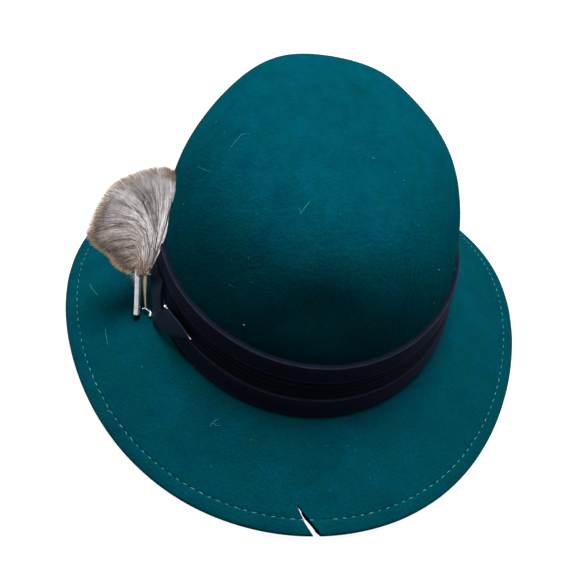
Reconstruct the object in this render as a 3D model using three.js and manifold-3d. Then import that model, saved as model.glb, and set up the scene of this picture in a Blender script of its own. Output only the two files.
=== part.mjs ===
import * as THREE from 'three';
import { mergeVertices } from 'three/addons/utils/BufferGeometryUtils.js';
import Module from 'manifold-3d';

// Tyrolean hat in wool felt, with a pleated ribbon band and a hair brush pinned beside it.
// Millimetres, +Z up. The front is towards -Y and the brush is on the -X side.
// The origin lies on the surface that the brim rests on, under the middle of the brim.

const wasm = await Module();
wasm.setup();

// Felt body
const FELT = 2.2;
const HEAD_WIDTH = 165.6;
const HEAD_LENGTH = 192;
const CROWN_TOP = 144.5;
const CROWN_LEAN = 0.123; // rise of the crown's top for each mm towards the back
const FOOT_HEIGHT = 34; // the line where the brim leaves the crown
const FOOT_FILLET = 4;
const BRIM_REACH = 55;
const BRIM_CURVE = 0.12; // how much steeper the brim starts than it ends
const EDGE_LIFT = 14.4; // height of the curled sides above the resting places
const HEM_WIDTH = 9;
const HEM_THICK = 3.8;
const HEM_STEP = 1.4;
const REST_FLAT = 0.8; // depth that the felt is pressed flat where it rests
const DENT = 2;
const DENT_FADE = 0.4; // share of the crown's height over which dents fade out to the foot

// Cut through the brim at the front
const CUT_BEARING = 268;
const CUT_DEPTH = 14.5;
const CUT_MOUTH = 4.2;

// Ribbon band and its two loose ends
const BAND_HEIGHT = 36;
const BAND_THICK = 3.2;
const RIBBON_END = 1;
const GAP = 0.3;

// Brush and its metal fittings
const TRIM_BEARING = 194;
const TUBE_RADIUS = 1.9;
const TUBE_WALL = 0.35;
const TUBE_LENGTH = 28;
const TUBE_STAND = 12; // how far its lower end stands from the band
const TUBE_FORE = 5.6; // how far forward its lower end stands
const TUBE_CLEAR = 0.87; // room between its lower edge and the brim
const TUBE_LEAN = 25; // degrees towards the back
const TUBE_TILT = 9.1; // degrees towards the crown
const STEM_RADIUS = 1.8;
const FUR_LENGTH = 55;
const FUR_ROOT = 4.6;
const FUR_SEAT = 4.9; // depth of the hair's root in the tube
const KNOT_RISE = 1.84; // how far the knot lies above the tube's top
const KNOT_WIDE = 1.15; // width of the knot as a share of its depth
const LOCK_WIDTH = 10.5;
const LOCK_BEND = 0.5; // where a lock bends, as a share of its length
const LOCK_SPARE = 0.2; // how much wider a short lock is than its share of the length
const PIN_RADIUS = 0.45;
const PIN_HEAD = 1;
const PIN_POINT = 3; // length of its sharpened end

// Mesh fineness
const BEARINGS = 64;
const TUBE_SIDES = 16;
const ROD_SIDES = 8;
const LOCK_SIDES = 6;
const KNOT_SIDES = 12;
const STEM_STEPS = 2; // sections from one row of the stem to the next
const SETTLE_STEPS = 3; // passes that settle a height on the sloping crown
const CUTTER_SPARE = 20; // how far a cutting shape runs past what it cuts

const FOOT_X = HEAD_WIDTH / 2 + FELT;
const FOOT_Y = HEAD_LENGTH / 2 + FELT;
const EDGE_RADIUS = HEM_THICK / 2;
const EDGE_LOW = EDGE_RADIUS - REST_FLAT;

// One row for each eighth of a turn, from the right side towards the back.
// Reach is a share of BRIM_REACH, lift of EDGE_LIFT and foot of FOOT_HEIGHT. Taper is how much the crown
// narrows to its top, and square how full its shoulder is.
const ROUND = [
  { reach: 0.965, lift: 1.0, foot: 1.13, taper: 0.075, square: 3.23 },
  { reach: 1.0, lift: 0.03, foot: 1.08, taper: 0.098, square: 3.23 },
  { reach: 1.0, lift: 0.22, foot: 1.03, taper: 0.101, square: 3.32 },
  { reach: 1.02, lift: 0.03, foot: 0.98, taper: 0.13, square: 3.1 },
  { reach: 1.0, lift: 0.93, foot: 0.945, taper: 0.121, square: 2.95 },
  { reach: 0.968, lift: 0.03, foot: 0.94, taper: 0.122, square: 3.25 },
  { reach: 0.997, lift: 0.31, foot: 0.92, taper: 0.117, square: 4.0 },
  { reach: 0.963, lift: 0.03, foot: 1.03, taper: 0.096, square: 3.35 },
];

// Dents and swellings of the crown. Across, along and up place each one, as shares of the half width, the
// half length and the crown's height. Wide is a share of HEAD_WIDTH and deep of DENT, and a swelling is
// negative.
const DENTS = [
  { across: -0.26, along: -0.36, up: 0.92, wide: 0.17, deep: 1.1 },
  { across: 0.14, along: -0.35, up: 0.95, wide: 0.14, deep: 0.9 },
  { across: -0.12, along: 0.01, up: 1.0, wide: 0.12, deep: 0.7 },
  { across: -0.13, along: -0.84, up: 0.56, wide: 0.1, deep: 1.1 },
  { across: -0.06, along: -0.68, up: 0.77, wide: 0.1, deep: -0.5 },
  { across: -0.86, along: 0.1, up: 0.6, wide: 0.16, deep: -0.5 },
  { across: -0.6, along: 0.3, up: 0.87, wide: 0.12, deep: 1.1 },
  { across: 0.04, along: 0.5, up: 0.98, wide: 0.13, deep: 1.2 },
  { across: 0.55, along: 0.18, up: 0.94, wide: 0.12, deep: 0.3 },
  { across: -0.24, along: 0.5, up: 0.98, wide: 0.12, deep: -0.35 },
  { across: 0.73, along: -0.1, up: 0.84, wide: 0.16, deep: -0.45 },
  { across: 0.38, along: 0.42, up: 0.97, wide: 0.12, deep: -0.5 },
];

// Crown rows from below the top to above the foot, as degrees up its rounded section
const CROWN_ROWS = [83, 76, 65, 53, 41, 30, 20, 12, 6, 2.5];
const FILLET_ROWS = [0, 0.33, 0.67, 1];
const BRIM_ROWS = [0.22, 0.46, 0.68];
const EDGE_ROLL = [45, 90, 135]; // degrees round the hem's edge

// The cut's outline: inward from the edge as a share of CUT_DEPTH, side of CUT_DEPTH, wide of CUT_MOUTH
const CUT = [
  { inward: 1, side: -0.71, wide: 0.04 },
  { inward: 0.69, side: -0.53, wide: 0.45 },
  { inward: 0.38, side: -0.31, wide: 0.85 },
  { inward: 0, side: 0, wide: 1 },
  { inward: -0.3, side: 0.2, wide: 1.1 },
];

// The band's section, from its top edge: down is a share of BAND_HEIGHT, thick of BAND_THICK
const PLEATS = [
  { down: 0, thick: 0.6 },
  { down: 0.03, thick: 0.72 },
  { down: 0.28, thick: 0.72 },
  { down: 0.3, thick: 0.45 },
  { down: 0.385, thick: 0.56 },
  { down: 0.395, thick: 0.43 },
  { down: 0.485, thick: 0.56 },
  { down: 0.495, thick: 0.43 },
  { down: 0.56, thick: 0.56 },
  { down: 0.57, thick: 0.44 },
  { down: 0.66, thick: 0.6 },
  { down: 0.68, thick: 0.82 },
  { down: 0.76, thick: 1 },
  { down: 0.88, thick: 1 },
  { down: 0.95, thick: 0.93 },
];
const BAND_BOTTOM = 0.8;
const BAND_INSIDE = [0, 0.25, 0.5, 0.75, 1];

// The ribbon ends run from one row to the next. Low and high are the bearings of the two edges, lowUp and
// highUp their heights as shares of BAND_HEIGHT, and lowOff and highOff how far they stand off the band, as
// shares of BAND_THICK.
const UPPER_END = [
  { low: 192.3, high: 197.4, lowUp: 0.48, highUp: 0.67, lowOff: 0.75, highOff: -0.46 },
  { low: 194, high: 198.7, lowUp: 0.38, highUp: 0.56, lowOff: 0.85, highOff: -0.2 },
  { low: 196.2, high: 200.4, lowUp: 0.26, highUp: 0.44, lowOff: 0.85, highOff: 0.2 },
  { low: 199, high: 202.8, lowUp: 0.11, highUp: 0.26, lowOff: 0.9, highOff: 0.25 },
];
const LOWER_END = [
  { low: 200.4, high: 203.6, lowUp: -0.01, highUp: 0.26, lowOff: 1, highOff: 0.6 },
  { low: 204.5, high: 206, lowUp: 0.04, highUp: 0.39, lowOff: 0.75, highOff: 0.35 },
  { low: 209.7, high: 211.5, lowUp: 0.12, highUp: 0.47, lowOff: 0.3, highOff: 0.28 },
  { low: 214.5, high: 216.3, lowUp: 0.26, highUp: 0.47, lowOff: 0.02, highOff: 0.24 },
  { low: 218.2, high: 219, lowUp: 0.415, highUp: 0.455, lowOff: 0.28, highOff: 0.28 },
];
const PIN_ENDS = [
  { bearing: 204, up: 0.392, off: -0.045 },
  { bearing: 220.6, up: 0.462, off: -0.045 },
];
// The pin's head along its length: along and wide are shares of PIN_HEAD
const PIN_FORM = [
  { along: -1, wide: 0 },
  { along: -0.6, wide: 0.8 },
  { along: 0, wide: 1 },
  { along: 0.6, wide: 0.8 },
];

// The stem beside the tube and the wire that leaves it. Down runs along the tube from its top as a share of
// TUBE_LENGTH, aside leads from the tube's side towards the band and fore towards the front, both shares of
// TUBE_LENGTH, and thick is a share of STEM_RADIUS.
const STEM = [
  { down: 0.17, aside: 0, fore: 0, thick: 0.95 },
  { down: 0.3, aside: 0, fore: 0, thick: 1 },
  { down: 0.6, aside: 0.01, fore: 0, thick: 0.78 },
  { down: 0.8, aside: 0.025, fore: 0, thick: 0.5 },
  { down: 0.86, aside: 0.04, fore: 0.01, thick: 0.3 },
  { down: 0.88, aside: 0.08, fore: 0.05, thick: 0.25 },
  { down: 0.88, aside: 0.12, fore: 0.09, thick: 0.25 },
  { down: 0.885, aside: 0.14, fore: 0.115, thick: 0.27 },
  { down: 0.895, aside: 0.14, fore: 0.122, thick: 0.5 },
  { down: 0.917, aside: 0.135, fore: 0.125, thick: 0.62 },
  { down: 0.94, aside: 0.13, fore: 0.125, thick: 0.4 },
];

// Locks of the brush: start and turn are the angles at its root and tip, from the brush's rise towards the
// side, in degrees. Length is a share of FUR_LENGTH, tilt an angle out of the fan's plane, to the front.
const LOCKS = [
  { start: -34, turn: -20, length: 1.0, tilt: 2 },
  { start: -26, turn: -15, length: 1.0, tilt: 12 },
  { start: -24, turn: -14, length: 0.99, tilt: -7 },
  { start: -16, turn: -7, length: 0.97, tilt: 5 },
  { start: -10, turn: 1, length: 0.95, tilt: 14 },
  { start: -8, turn: 3, length: 0.93, tilt: -7 },
  { start: -2, turn: 11, length: 0.91, tilt: 4 },
  { start: 4, turn: 19, length: 0.87, tilt: 14 },
  { start: 6, turn: 22, length: 0.86, tilt: -6 },
  { start: 12, turn: 31, length: 0.8, tilt: 4 },
  { start: 18, turn: 40, length: 0.75, tilt: 14 },
  { start: 21, turn: 44, length: 0.74, tilt: -5 },
  { start: 28, turn: 54, length: 0.7, tilt: 5 },
  { start: 40, turn: 63, length: 0.59, tilt: 10 },
  { start: 54, turn: 73, length: 0.44, tilt: 4 },
  { start: 76, turn: 86, length: 0.3, tilt: 3 },
];
// Section of a lock along its length: wide and deep are shares of LOCK_WIDTH
const LOCK_FORM = [
  { along: 0, wide: 0.55, deep: 0.6 },
  { along: 0.2, wide: 0.8, deep: 0.8 },
  { along: 0.45, wide: 0.95, deep: 0.85 },
  { along: 0.7, wide: 1.05, deep: 0.75 },
  { along: 0.88, wide: 1, deep: 0.5 },
  { along: 1, wide: 0.6, deep: 0.15 },
];

const rad = THREE.MathUtils.degToRad;

const FELT_LOOK = new THREE.MeshStandardMaterial({ color: 0x00505c, roughness: 0.95, metalness: 0 });
const RIBBON_LOOK = new THREE.MeshStandardMaterial({ color: 0x15161f, roughness: 0.6, metalness: 0 });
const SATIN_LOOK = new THREE.MeshStandardMaterial({ color: 0x2b3142, roughness: 0.45, metalness: 0 });
const SILVER_LOOK = new THREE.MeshStandardMaterial({ color: 0xb9bcc0, roughness: 0.3, metalness: 1 });
const BRASS_LOOK = new THREE.MeshStandardMaterial({ color: 0x8a7a4c, roughness: 0.4, metalness: 1 });
const FUR_LOOK = new THREE.MeshStandardMaterial({ color: 0x8d7f74, roughness: 0.8, metalness: 0 });

// Value of a ROUND column at a bearing, on a smooth curve through the rows
function column(name, bearing) {
  const place = (bearing / 360) * ROUND.length;
  const first = Math.floor(place);
  const t = place - first;
  const at = (step) => ROUND[(first + step + 2 * ROUND.length) % ROUND.length][name];
  const start = (at(1) - at(-1)) / 2;
  const end = (at(2) - at(0)) / 2;
  const t2 = t * t;
  const t3 = t2 * t;
  const ease = 3 * t2 - 2 * t3;
  return (1 - ease) * at(0) + ease * at(1) + (t3 - 2 * t2 + t) * start + (t3 - t2) * end;
}

// The same bearing between 0 and 360
function wrapped(bearing) {
  return ((bearing % 360) + 360) % 360;
}

// Direction in plan that points straight out from the crown's foot
function outward(bearing) {
  const a = rad(bearing);
  return new THREE.Vector3(Math.cos(a) / FOOT_X, Math.sin(a) / FOOT_Y, 0).normalize();
}

function footHeight(bearing) {
  return FOOT_HEIGHT * column('foot', wrapped(bearing));
}

// Depth of the dents at a point of the crown
function dentDepth(point, foot) {
  let depth = 0;
  for (const dent of DENTS) {
    const away = new THREE.Vector3(
      point.x - dent.across * FOOT_X,
      point.y - dent.along * FOOT_Y,
      point.z - foot - dent.up * (CROWN_TOP - foot),
    ).length();
    depth += dent.deep * DENT * Math.exp(-((away / (dent.wide * HEAD_WIDTH)) ** 2));
  }
  return depth;
}

// Outer face of the crown at a share of its height, 0 at the foot and 1 at the top
function crownPoint(bearing, rise) {
  const a = rad(bearing);
  const square = column('square', wrapped(bearing));
  const full = Math.max(1 - rise ** square, 0) ** (1 / square);
  const shrink = (1 - column('taper', wrapped(bearing)) * rise) * full;
  const foot = footHeight(bearing);
  const x = FOOT_X * Math.cos(a) * shrink;
  const y = FOOT_Y * Math.sin(a) * shrink;
  const point = new THREE.Vector3(x, y, foot + (CROWN_TOP - foot + CROWN_LEAN * y) * rise);
  const face = new THREE.Vector3(
    (Math.cos(a) * full ** (square - 1)) / FOOT_X,
    (Math.sin(a) * full ** (square - 1)) / FOOT_Y,
    rise ** (square - 1) / (CROWN_TOP - foot),
  ).normalize();
  return point.addScaledVector(face, -dentDepth(point, foot) * Math.min(1, rise / DENT_FADE));
}

// Share of the crown's height that lies a given height above the foot
function riseAt(bearing, height) {
  let rise = height / (CROWN_TOP - footHeight(bearing));
  for (let pass = 0; pass < SETTLE_STEPS; pass += 1) {
    const y = crownPoint(bearing, rise).y;
    rise = height / (CROWN_TOP - footHeight(bearing) + CROWN_LEAN * y);
  }
  return rise;
}

// Point outside the crown's wall, a height above the foot and a distance off the felt
function besideCrown(bearing, height, off) {
  return crownPoint(bearing, riseAt(bearing, Math.max(height, 0)))
    .addScaledVector(outward(bearing), off)
    .setZ(footHeight(bearing) + height);
}

function brimReach(bearing) {
  return BRIM_REACH * column('reach', wrapped(bearing)) - EDGE_RADIUS;
}

function edgeHeight(bearing) {
  return EDGE_LOW + EDGE_LIFT * column('lift', wrapped(bearing));
}

// Fall of the brim at its start, as an angle below level
function brimSlope(bearing) {
  const fall = footHeight(bearing) - edgeHeight(bearing) - EDGE_RADIUS;
  return Math.atan2(fall * (1 + BRIM_CURVE), brimReach(bearing));
}

// Upper face of the brim, a share of the way from the foot to the edge
function brimPoint(bearing, share) {
  const a = rad(bearing);
  const foot = footHeight(bearing);
  const fall = foot - edgeHeight(bearing) - EDGE_RADIUS;
  const drop = share * (1 + BRIM_CURVE * (1 - share));
  return new THREE.Vector3(FOOT_X * Math.cos(a), FOOT_Y * Math.sin(a), foot - fall * drop)
    .addScaledVector(outward(bearing), share * brimReach(bearing));
}

// Height above the foot where the crown's wall meets the fillet
function filletTop(bearing) {
  const slope = brimSlope(bearing);
  return (FOOT_FILLET * (1 - Math.sin(slope))) / Math.cos(slope);
}

function filletPoint(bearing, share) {
  const angle = share * (Math.PI / 2 - brimSlope(bearing));
  const height = filletTop(bearing) - FOOT_FILLET * Math.sin(angle);
  const off = FOOT_FILLET * (1 - Math.cos(angle));
  const wall = besideCrown(bearing, Math.max(height, 0), off);
  return wall.setZ(footHeight(bearing) + height);
}

// Outer face of the felt at one bearing, from just below the top to the edge
function feltOutside(bearing) {
  const square = column('square', wrapped(bearing));
  const crown = CROWN_ROWS.map((row) => crownPoint(bearing, Math.sin(rad(row)) ** (2 / square)));
  const fillet = FILLET_ROWS.map((row) => filletPoint(bearing, row));
  const hem = 1 - (HEM_WIDTH - EDGE_RADIUS) / brimReach(bearing);
  const step = hem - HEM_STEP / brimReach(bearing);
  const brim = [...BRIM_ROWS.map((row) => row * step), step, hem, 1].map((row) => brimPoint(bearing, row));
  return [...crown, ...fillet, ...brim];
}

// Closed surface through rings of points, where a ring of one point closes an end
function loft(rings, loop = false) {
  const points = [];
  const starts = rings.map((ring) => {
    const start = points.length;
    points.push(...ring);
    return start;
  });
  const faces = [];
  const last = loop ? rings.length : rings.length - 1;
  for (let r = 0; r < last; r += 1) {
    const next = (r + 1) % rings.length;
    const sides = Math.max(rings[r].length, rings[next].length);
    for (let s = 0; s < sides; s += 1) {
      const t = (s + 1) % sides;
      if (rings[r].length > 1) {
        faces.push(starts[r] + s, starts[r] + t, starts[next] + (rings[next].length > 1 ? s : 0));
      }
      if (rings[next].length > 1) {
        faces.push(starts[r] + (rings[r].length > 1 ? t : 0), starts[next] + t, starts[next] + s);
      }
    }
  }
  const geometry = new THREE.BufferGeometry().setFromPoints(points);
  geometry.setIndex(faces);
  return signedVolume(geometry) < 0 ? turnedOut(geometry) : geometry;
}

function signedVolume(geometry) {
  const place = geometry.getAttribute('position');
  const index = geometry.getIndex().array;
  const corner = (k) => new THREE.Vector3().fromBufferAttribute(place, index[k]);
  let volume = 0;
  for (let k = 0; k < index.length; k += 3) {
    volume += corner(k).dot(corner(k + 1).cross(corner(k + 2)));
  }
  return volume;
}

function turnedOut(geometry) {
  const index = geometry.getIndex().array;
  for (let k = 0; k < index.length; k += 3) {
    [index[k + 1], index[k + 2]] = [index[k + 2], index[k + 1]];
  }
  return geometry;
}

function solid(geometry) {
  const bare = geometry.clone();
  bare.deleteAttribute('normal');
  bare.deleteAttribute('uv');
  const merged = mergeVertices(bare);
  return new wasm.Manifold(new wasm.Mesh({
    numProp: 3,
    vertProperties: Float32Array.from(merged.getAttribute('position').array),
    triVerts: Uint32Array.from(merged.getIndex().array),
  }));
}

function geometryOf(body) {
  const mesh = body.getMesh();
  const geometry = new THREE.BufferGeometry();
  geometry.setAttribute('position', new THREE.BufferAttribute(new Float32Array(mesh.vertProperties), 3));
  geometry.setIndex([...mesh.triVerts]);
  return geometry;
}

function named(name, geometry, look) {
  const mesh = new THREE.Mesh(geometry, look);
  mesh.name = name;
  return mesh;
}

function centre(ring) {
  return ring.reduce((sum, point) => sum.add(point), new THREE.Vector3()).divideScalar(ring.length);
}

function eachBearing(make) {
  return Array.from({ length: BEARINGS }, (_, k) => make((k * 360) / BEARINGS));
}

// Turns a list of outlines, one for each bearing, into one ring for each row
function ringsOf(outlines) {
  return outlines[0].map((_, row) => outlines.map((outline) => outline[row]));
}

// Outward direction of the felt at a bearing k and a row, from the points around it
function feltFace(outlines, k, row) {
  const before = outlines[(k + BEARINGS - 1) % BEARINGS][row];
  const after = outlines[(k + 1) % BEARINGS][row];
  const above = outlines[k][Math.max(row - 1, 0)];
  const below = outlines[k][Math.min(row + 1, outlines[k].length - 1)];
  const along = after.clone().sub(before);
  const down = below.clone().sub(above);
  return down.cross(along).normalize();
}

// Crown and brim: the outer face, the rounded edge of the hem, and the inner face a wall's thickness away
function feltShell() {
  const outside = eachBearing(feltOutside);
  const rows = outside[0].length;
  const whole = outside.map((outline, k) => {
    const faces = outline.map((_, row) => feltFace(outside, k, row));
    const inside = outline.map((point, row) => {
      const wall = row >= rows - 2 ? HEM_THICK : FELT;
      return point.clone().addScaledVector(faces[row], -wall);
    });
    const edge = outline[rows - 1];
    const face = faces[rows - 1];
    const ahead = edge.clone().sub(outline[rows - 2]);
    ahead.addScaledVector(face, -ahead.dot(face)).normalize();
    const middle = edge.clone().addScaledVector(face, -EDGE_RADIUS);
    const roll = EDGE_ROLL.map((turn) => middle.clone()
      .addScaledVector(face, EDGE_RADIUS * Math.cos(rad(turn)))
      .addScaledVector(ahead, EDGE_RADIUS * Math.sin(rad(turn))));
    return [...outline, ...roll, ...inside.reverse()];
  });
  const top = crownPoint(0, 1);
  const inner = top.clone().setZ(top.z - FELT);
  return loft([[top], ...ringsOf(whole), [inner]]);
}

// Wedge that opens the cut at the front of the brim
function cutWedge() {
  const out = outward(CUT_BEARING);
  const side = new THREE.Vector3(-out.y, out.x, 0);
  const mouth = brimPoint(CUT_BEARING, 1).addScaledVector(out, EDGE_RADIUS);
  const corner = (row, sign) => mouth.clone()
    .addScaledVector(out, -row.inward * CUT_DEPTH)
    .addScaledVector(side, row.side * CUT_DEPTH + (sign * row.wide * CUT_MOUTH) / 2);
  const left = CUT.map((row) => corner(row, -1));
  const right = CUT.map((row) => corner(row, 1)).reverse();
  const outline = new THREE.Shape([...left, ...right].map((point) => new THREE.Vector2(point.x, point.y)));
  const depth = FOOT_HEIGHT + 2 * CUTTER_SPARE;
  const wedge = new THREE.ExtrudeGeometry(outline, { depth, bevelEnabled: false });
  return wedge.translate(0, 0, -CUTTER_SPARE);
}

// Everything below the surface that the hat rests on
function restSlab() {
  const wide = 2 * (FOOT_X + BRIM_REACH + CUTTER_SPARE);
  const long = 2 * (FOOT_Y + BRIM_REACH + CUTTER_SPARE);
  return new THREE.BoxGeometry(wide, long, CUTTER_SPARE).translate(0, 0, -CUTTER_SPARE / 2);
}

function feltBody() {
  const body = solid(feltShell()).subtract(solid(cutWedge())).subtract(solid(restSlab()));
  return named('felt_body', geometryOf(body), FELT_LOOK);
}

// Point on the brim's upper face a distance out from the foot, lifted clear of the felt
function onBrim(bearing, out, clear) {
  return brimPoint(bearing, out / brimReach(bearing)).add(
    new THREE.Vector3(0, 0, clear / Math.cos(brimSlope(bearing))),
  );
}

function bandOutline(bearing) {
  const low = filletTop(bearing) + GAP;
  const inner = BAND_INSIDE.map((share) => besideCrown(bearing, low + share * (BAND_HEIGHT - low), GAP));
  const outer = PLEATS.map((row) => besideCrown(
    bearing,
    BAND_HEIGHT * (1 - row.down),
    GAP + BAND_THICK * row.thick,
  ));
  const bottom = onBrim(bearing, GAP + BAND_THICK * BAND_BOTTOM, GAP);
  return [...inner, ...outer, bottom];
}

function ribbonBand() {
  return named('ribbon_band', loft(ringsOf(eachBearing(bandOutline)), true), RIBBON_LOOK);
}

// Point beside the band's outer face
function besideBand(bearing, height, off) {
  return besideCrown(bearing, height, GAP + BAND_THICK + GAP + off);
}

function ribbonEnd(name, rows) {
  const sections = rows.map((row) => {
    const low = (off) => besideBand(row.low, row.lowUp * BAND_HEIGHT, row.lowOff * BAND_THICK + off);
    const high = (off) => besideBand(row.high, row.highUp * BAND_HEIGHT, row.highOff * BAND_THICK + off);
    const middle = (off) => low(off).lerp(high(off), 0.5);
    return [low(0), middle(0), high(0), high(RIBBON_END), middle(RIBBON_END), low(RIBBON_END)];
  });
  const ends = [[centre(sections[0])], ...sections, [centre(sections[sections.length - 1])]];
  return named(name, loft(ends), SATIN_LOOK);
}

// Local frame of the brush: out from the band, back along it, and up
const trim = {
  out: outward(TRIM_BEARING),
  back: new THREE.Vector3(outward(TRIM_BEARING).y, -outward(TRIM_BEARING).x, 0),
  up: new THREE.Vector3(0, 0, 1),
};
const tubeAxis = trim.up.clone().multiplyScalar(Math.cos(rad(TUBE_LEAN)))
  .addScaledVector(trim.back, Math.sin(rad(TUBE_LEAN)))
  .addScaledVector(trim.out, -Math.tan(rad(TUBE_TILT)))
  .normalize();
const tubeFoot = onBrim(TRIM_BEARING, BAND_THICK + TUBE_STAND, TUBE_RADIUS + TUBE_CLEAR)
  .addScaledVector(trim.back, -TUBE_FORE);

function tubePoint(down) {
  return tubeFoot.clone().addScaledVector(tubeAxis, (1 - down) * TUBE_LENGTH);
}

// Turns a shape made along +Y so that it runs from a point along a direction
function placed(geometry, point, direction) {
  const turn = new THREE.Quaternion().setFromUnitVectors(new THREE.Vector3(0, 1, 0), direction);
  return geometry.applyQuaternion(turn).translate(point.x, point.y, point.z);
}

function brushTube() {
  const bore = TUBE_RADIUS - TUBE_WALL;
  const profile = [
    [bore, 0],
    [TUBE_RADIUS, 0],
    [TUBE_RADIUS, TUBE_LENGTH],
    [bore, TUBE_LENGTH],
    [bore, 0],
  ].map(([r, y]) => new THREE.Vector2(r, y));
  const tube = new THREE.LatheGeometry(profile, TUBE_SIDES);
  return named('brush_tube', placed(tube, tubeFoot, tubeAxis), SILVER_LOOK);
}

// Round bar through a row of points, each with its own radius
function rod(points, radii, sides, flat = () => 1) {
  const rings = [];
  let across = new THREE.Vector3().crossVectors(points[1].clone().sub(points[0]), trim.out).normalize();
  points.forEach((point, k) => {
    const from = points[Math.max(k - 1, 0)];
    const to = points[Math.min(k + 1, points.length - 1)];
    const ahead = to.clone().sub(from).normalize();
    across = across.clone().addScaledVector(ahead, -across.dot(ahead)).normalize();
    const deep = new THREE.Vector3().crossVectors(ahead, across);
    rings.push(Array.from({ length: sides }, (_, s) => {
      const a = (s * 2 * Math.PI) / sides;
      return point.clone()
        .addScaledVector(across, radii[k] * Math.cos(a))
        .addScaledVector(deep, radii[k] * flat(k) * Math.sin(a));
    }));
  });
  return loft([[centre(rings[0])], ...rings, [centre(rings[rings.length - 1])]]);
}

function stemPoint(row) {
  const towardBand = trim.out.clone().negate();
  towardBand.addScaledVector(tubeAxis, -towardBand.dot(tubeAxis)).normalize();
  return tubePoint(row.down)
    .addScaledVector(towardBand, TUBE_RADIUS + STEM_RADIUS + GAP + row.aside * TUBE_LENGTH)
    .addScaledVector(trim.back, -row.fore * TUBE_LENGTH);
}

function broochStem() {
  const curve = new THREE.CatmullRomCurve3(STEM.map(stemPoint));
  const steps = STEM_STEPS * (STEM.length - 1);
  const points = Array.from({ length: steps + 1 }, (_, k) => curve.getPoint(k / steps));
  const radii = points.map((_, k) => {
    const row = Math.floor(k / STEM_STEPS);
    const next = Math.min(row + 1, STEM.length - 1);
    const share = (k % STEM_STEPS) / STEM_STEPS;
    return STEM_RADIUS * THREE.MathUtils.lerp(STEM[row].thick, STEM[next].thick, share);
  });
  return named('brooch_stem', rod(points, radii, ROD_SIDES), BRASS_LOOK);
}

function fixingPin() {
  const [head, tip] = PIN_ENDS.map((end) => besideBand(
    end.bearing,
    end.up * BAND_HEIGHT,
    end.off * BAND_THICK,
  ));
  const length = head.distanceTo(tip);
  const profile = [
    ...PIN_FORM.map((form) => [PIN_HEAD * form.wide, PIN_HEAD * form.along]),
    [PIN_RADIUS, PIN_HEAD],
    [PIN_RADIUS, length - PIN_POINT],
    [0, length],
  ].map(([r, y]) => new THREE.Vector2(r, y));
  const pin = new THREE.LatheGeometry(profile, ROD_SIDES);
  return named('fixing_pin', placed(pin, head, tip.clone().sub(head).normalize()), SILVER_LOOK);
}

// The brush's knot lies beside the top of the tube, towards the crown
const knot = tubePoint(0)
  .addScaledVector(trim.out, -FUR_ROOT)
  .addScaledVector(tubeAxis, KNOT_RISE);

function lockDirection(turn, tilt) {
  const rise = trim.up.clone().multiplyScalar(Math.cos(rad(TUBE_LEAN)))
    .addScaledVector(trim.back, Math.sin(rad(TUBE_LEAN)));
  const toFront = new THREE.Vector3().crossVectors(rise, trim.out).normalize();
  if (toFront.dot(trim.back) > 0) toFront.negate();
  return rise.multiplyScalar(Math.cos(rad(turn)))
    .addScaledVector(trim.out, Math.sin(rad(turn)))
    .addScaledVector(toFront, Math.tan(rad(tilt)))
    .normalize();
}

// One lock: it leaves the knot at its start angle, then bends over to its turn
function lock(row) {
  const length = row.length * FUR_LENGTH;
  const tip = knot.clone().addScaledVector(lockDirection(row.turn, row.tilt), length);
  const bend = knot.clone().addScaledVector(lockDirection(row.start, row.tilt), length * LOCK_BEND);
  const curve = new THREE.QuadraticBezierCurve3(knot, bend, tip);
  const points = LOCK_FORM.map((form) => curve.getPoint(form.along));
  const width = LOCK_WIDTH * Math.min(1, row.length + LOCK_SPARE);
  const radii = LOCK_FORM.map((form) => (form.wide * width) / 2);
  return rod(points, radii, LOCK_SIDES, (k) => LOCK_FORM[k].deep / LOCK_FORM[k].wide);
}

// Ball of hair at the knot, with the short root that sits in the tube
function furHead() {
  const ball = new THREE.SphereGeometry(FUR_ROOT, KNOT_SIDES, KNOT_SIDES / 2);
  ball.scale(KNOT_WIDE, 1, 1).translate(knot.x, knot.y, knot.z);
  const bore = TUBE_RADIUS - TUBE_WALL - GAP;
  const root = placed(
    new THREE.CylinderGeometry(bore, bore, 2 * FUR_SEAT, ROD_SIDES),
    tubePoint(0),
    tubeAxis,
  );
  return solid(ball).add(solid(root));
}

// The space that the crown and band fill, grown by the gap that the brush keeps to them
function hatBlock() {
  const outlines = eachBearing((bearing) => {
    const square = column('square', wrapped(bearing));
    const band = [0, BAND_HEIGHT + GAP].map((height) => besideBand(bearing, height, 0));
    const crown = CROWN_ROWS.map((row) => crownPoint(bearing, Math.sin(rad(row)) ** (2 / square)))
      .filter((point) => point.z > footHeight(bearing) + BAND_HEIGHT)
      .map((point) => point.addScaledVector(outward(bearing), GAP).setZ(point.z + GAP));
    return { band, crown };
  });
  const rows = Math.min(...outlines.map((outline) => outline.crown.length));
  const rings = ringsOf(outlines.map(({ band, crown }) => [...crown.slice(0, rows), ...band.reverse()]));
  const top = crownPoint(0, 1);
  return loft([[top.setZ(top.z + GAP)], ...rings, [new THREE.Vector3(0, 0, 0)]]);
}

// A clear ring round the tube, above which the hair starts
function tubeRoom() {
  const bore = TUBE_RADIUS - TUBE_WALL - GAP;
  const profile = [
    [bore, -TUBE_LENGTH],
    [TUBE_RADIUS + GAP, -TUBE_LENGTH],
    [TUBE_RADIUS + GAP, GAP],
    [bore, GAP],
    [bore, -TUBE_LENGTH],
  ].map(([r, y]) => new THREE.Vector2(r, y));
  return placed(new THREE.LatheGeometry(profile, TUBE_SIDES), tubePoint(0), tubeAxis);
}

function furBrush() {
  let fur = furHead();
  for (const row of LOCKS) {
    fur = fur.add(solid(lock(row)));
  }
  fur = fur.subtract(solid(hatBlock())).subtract(solid(tubeRoom()));
  return named('fur_brush', geometryOf(fur), FUR_LOOK);
}

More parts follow.
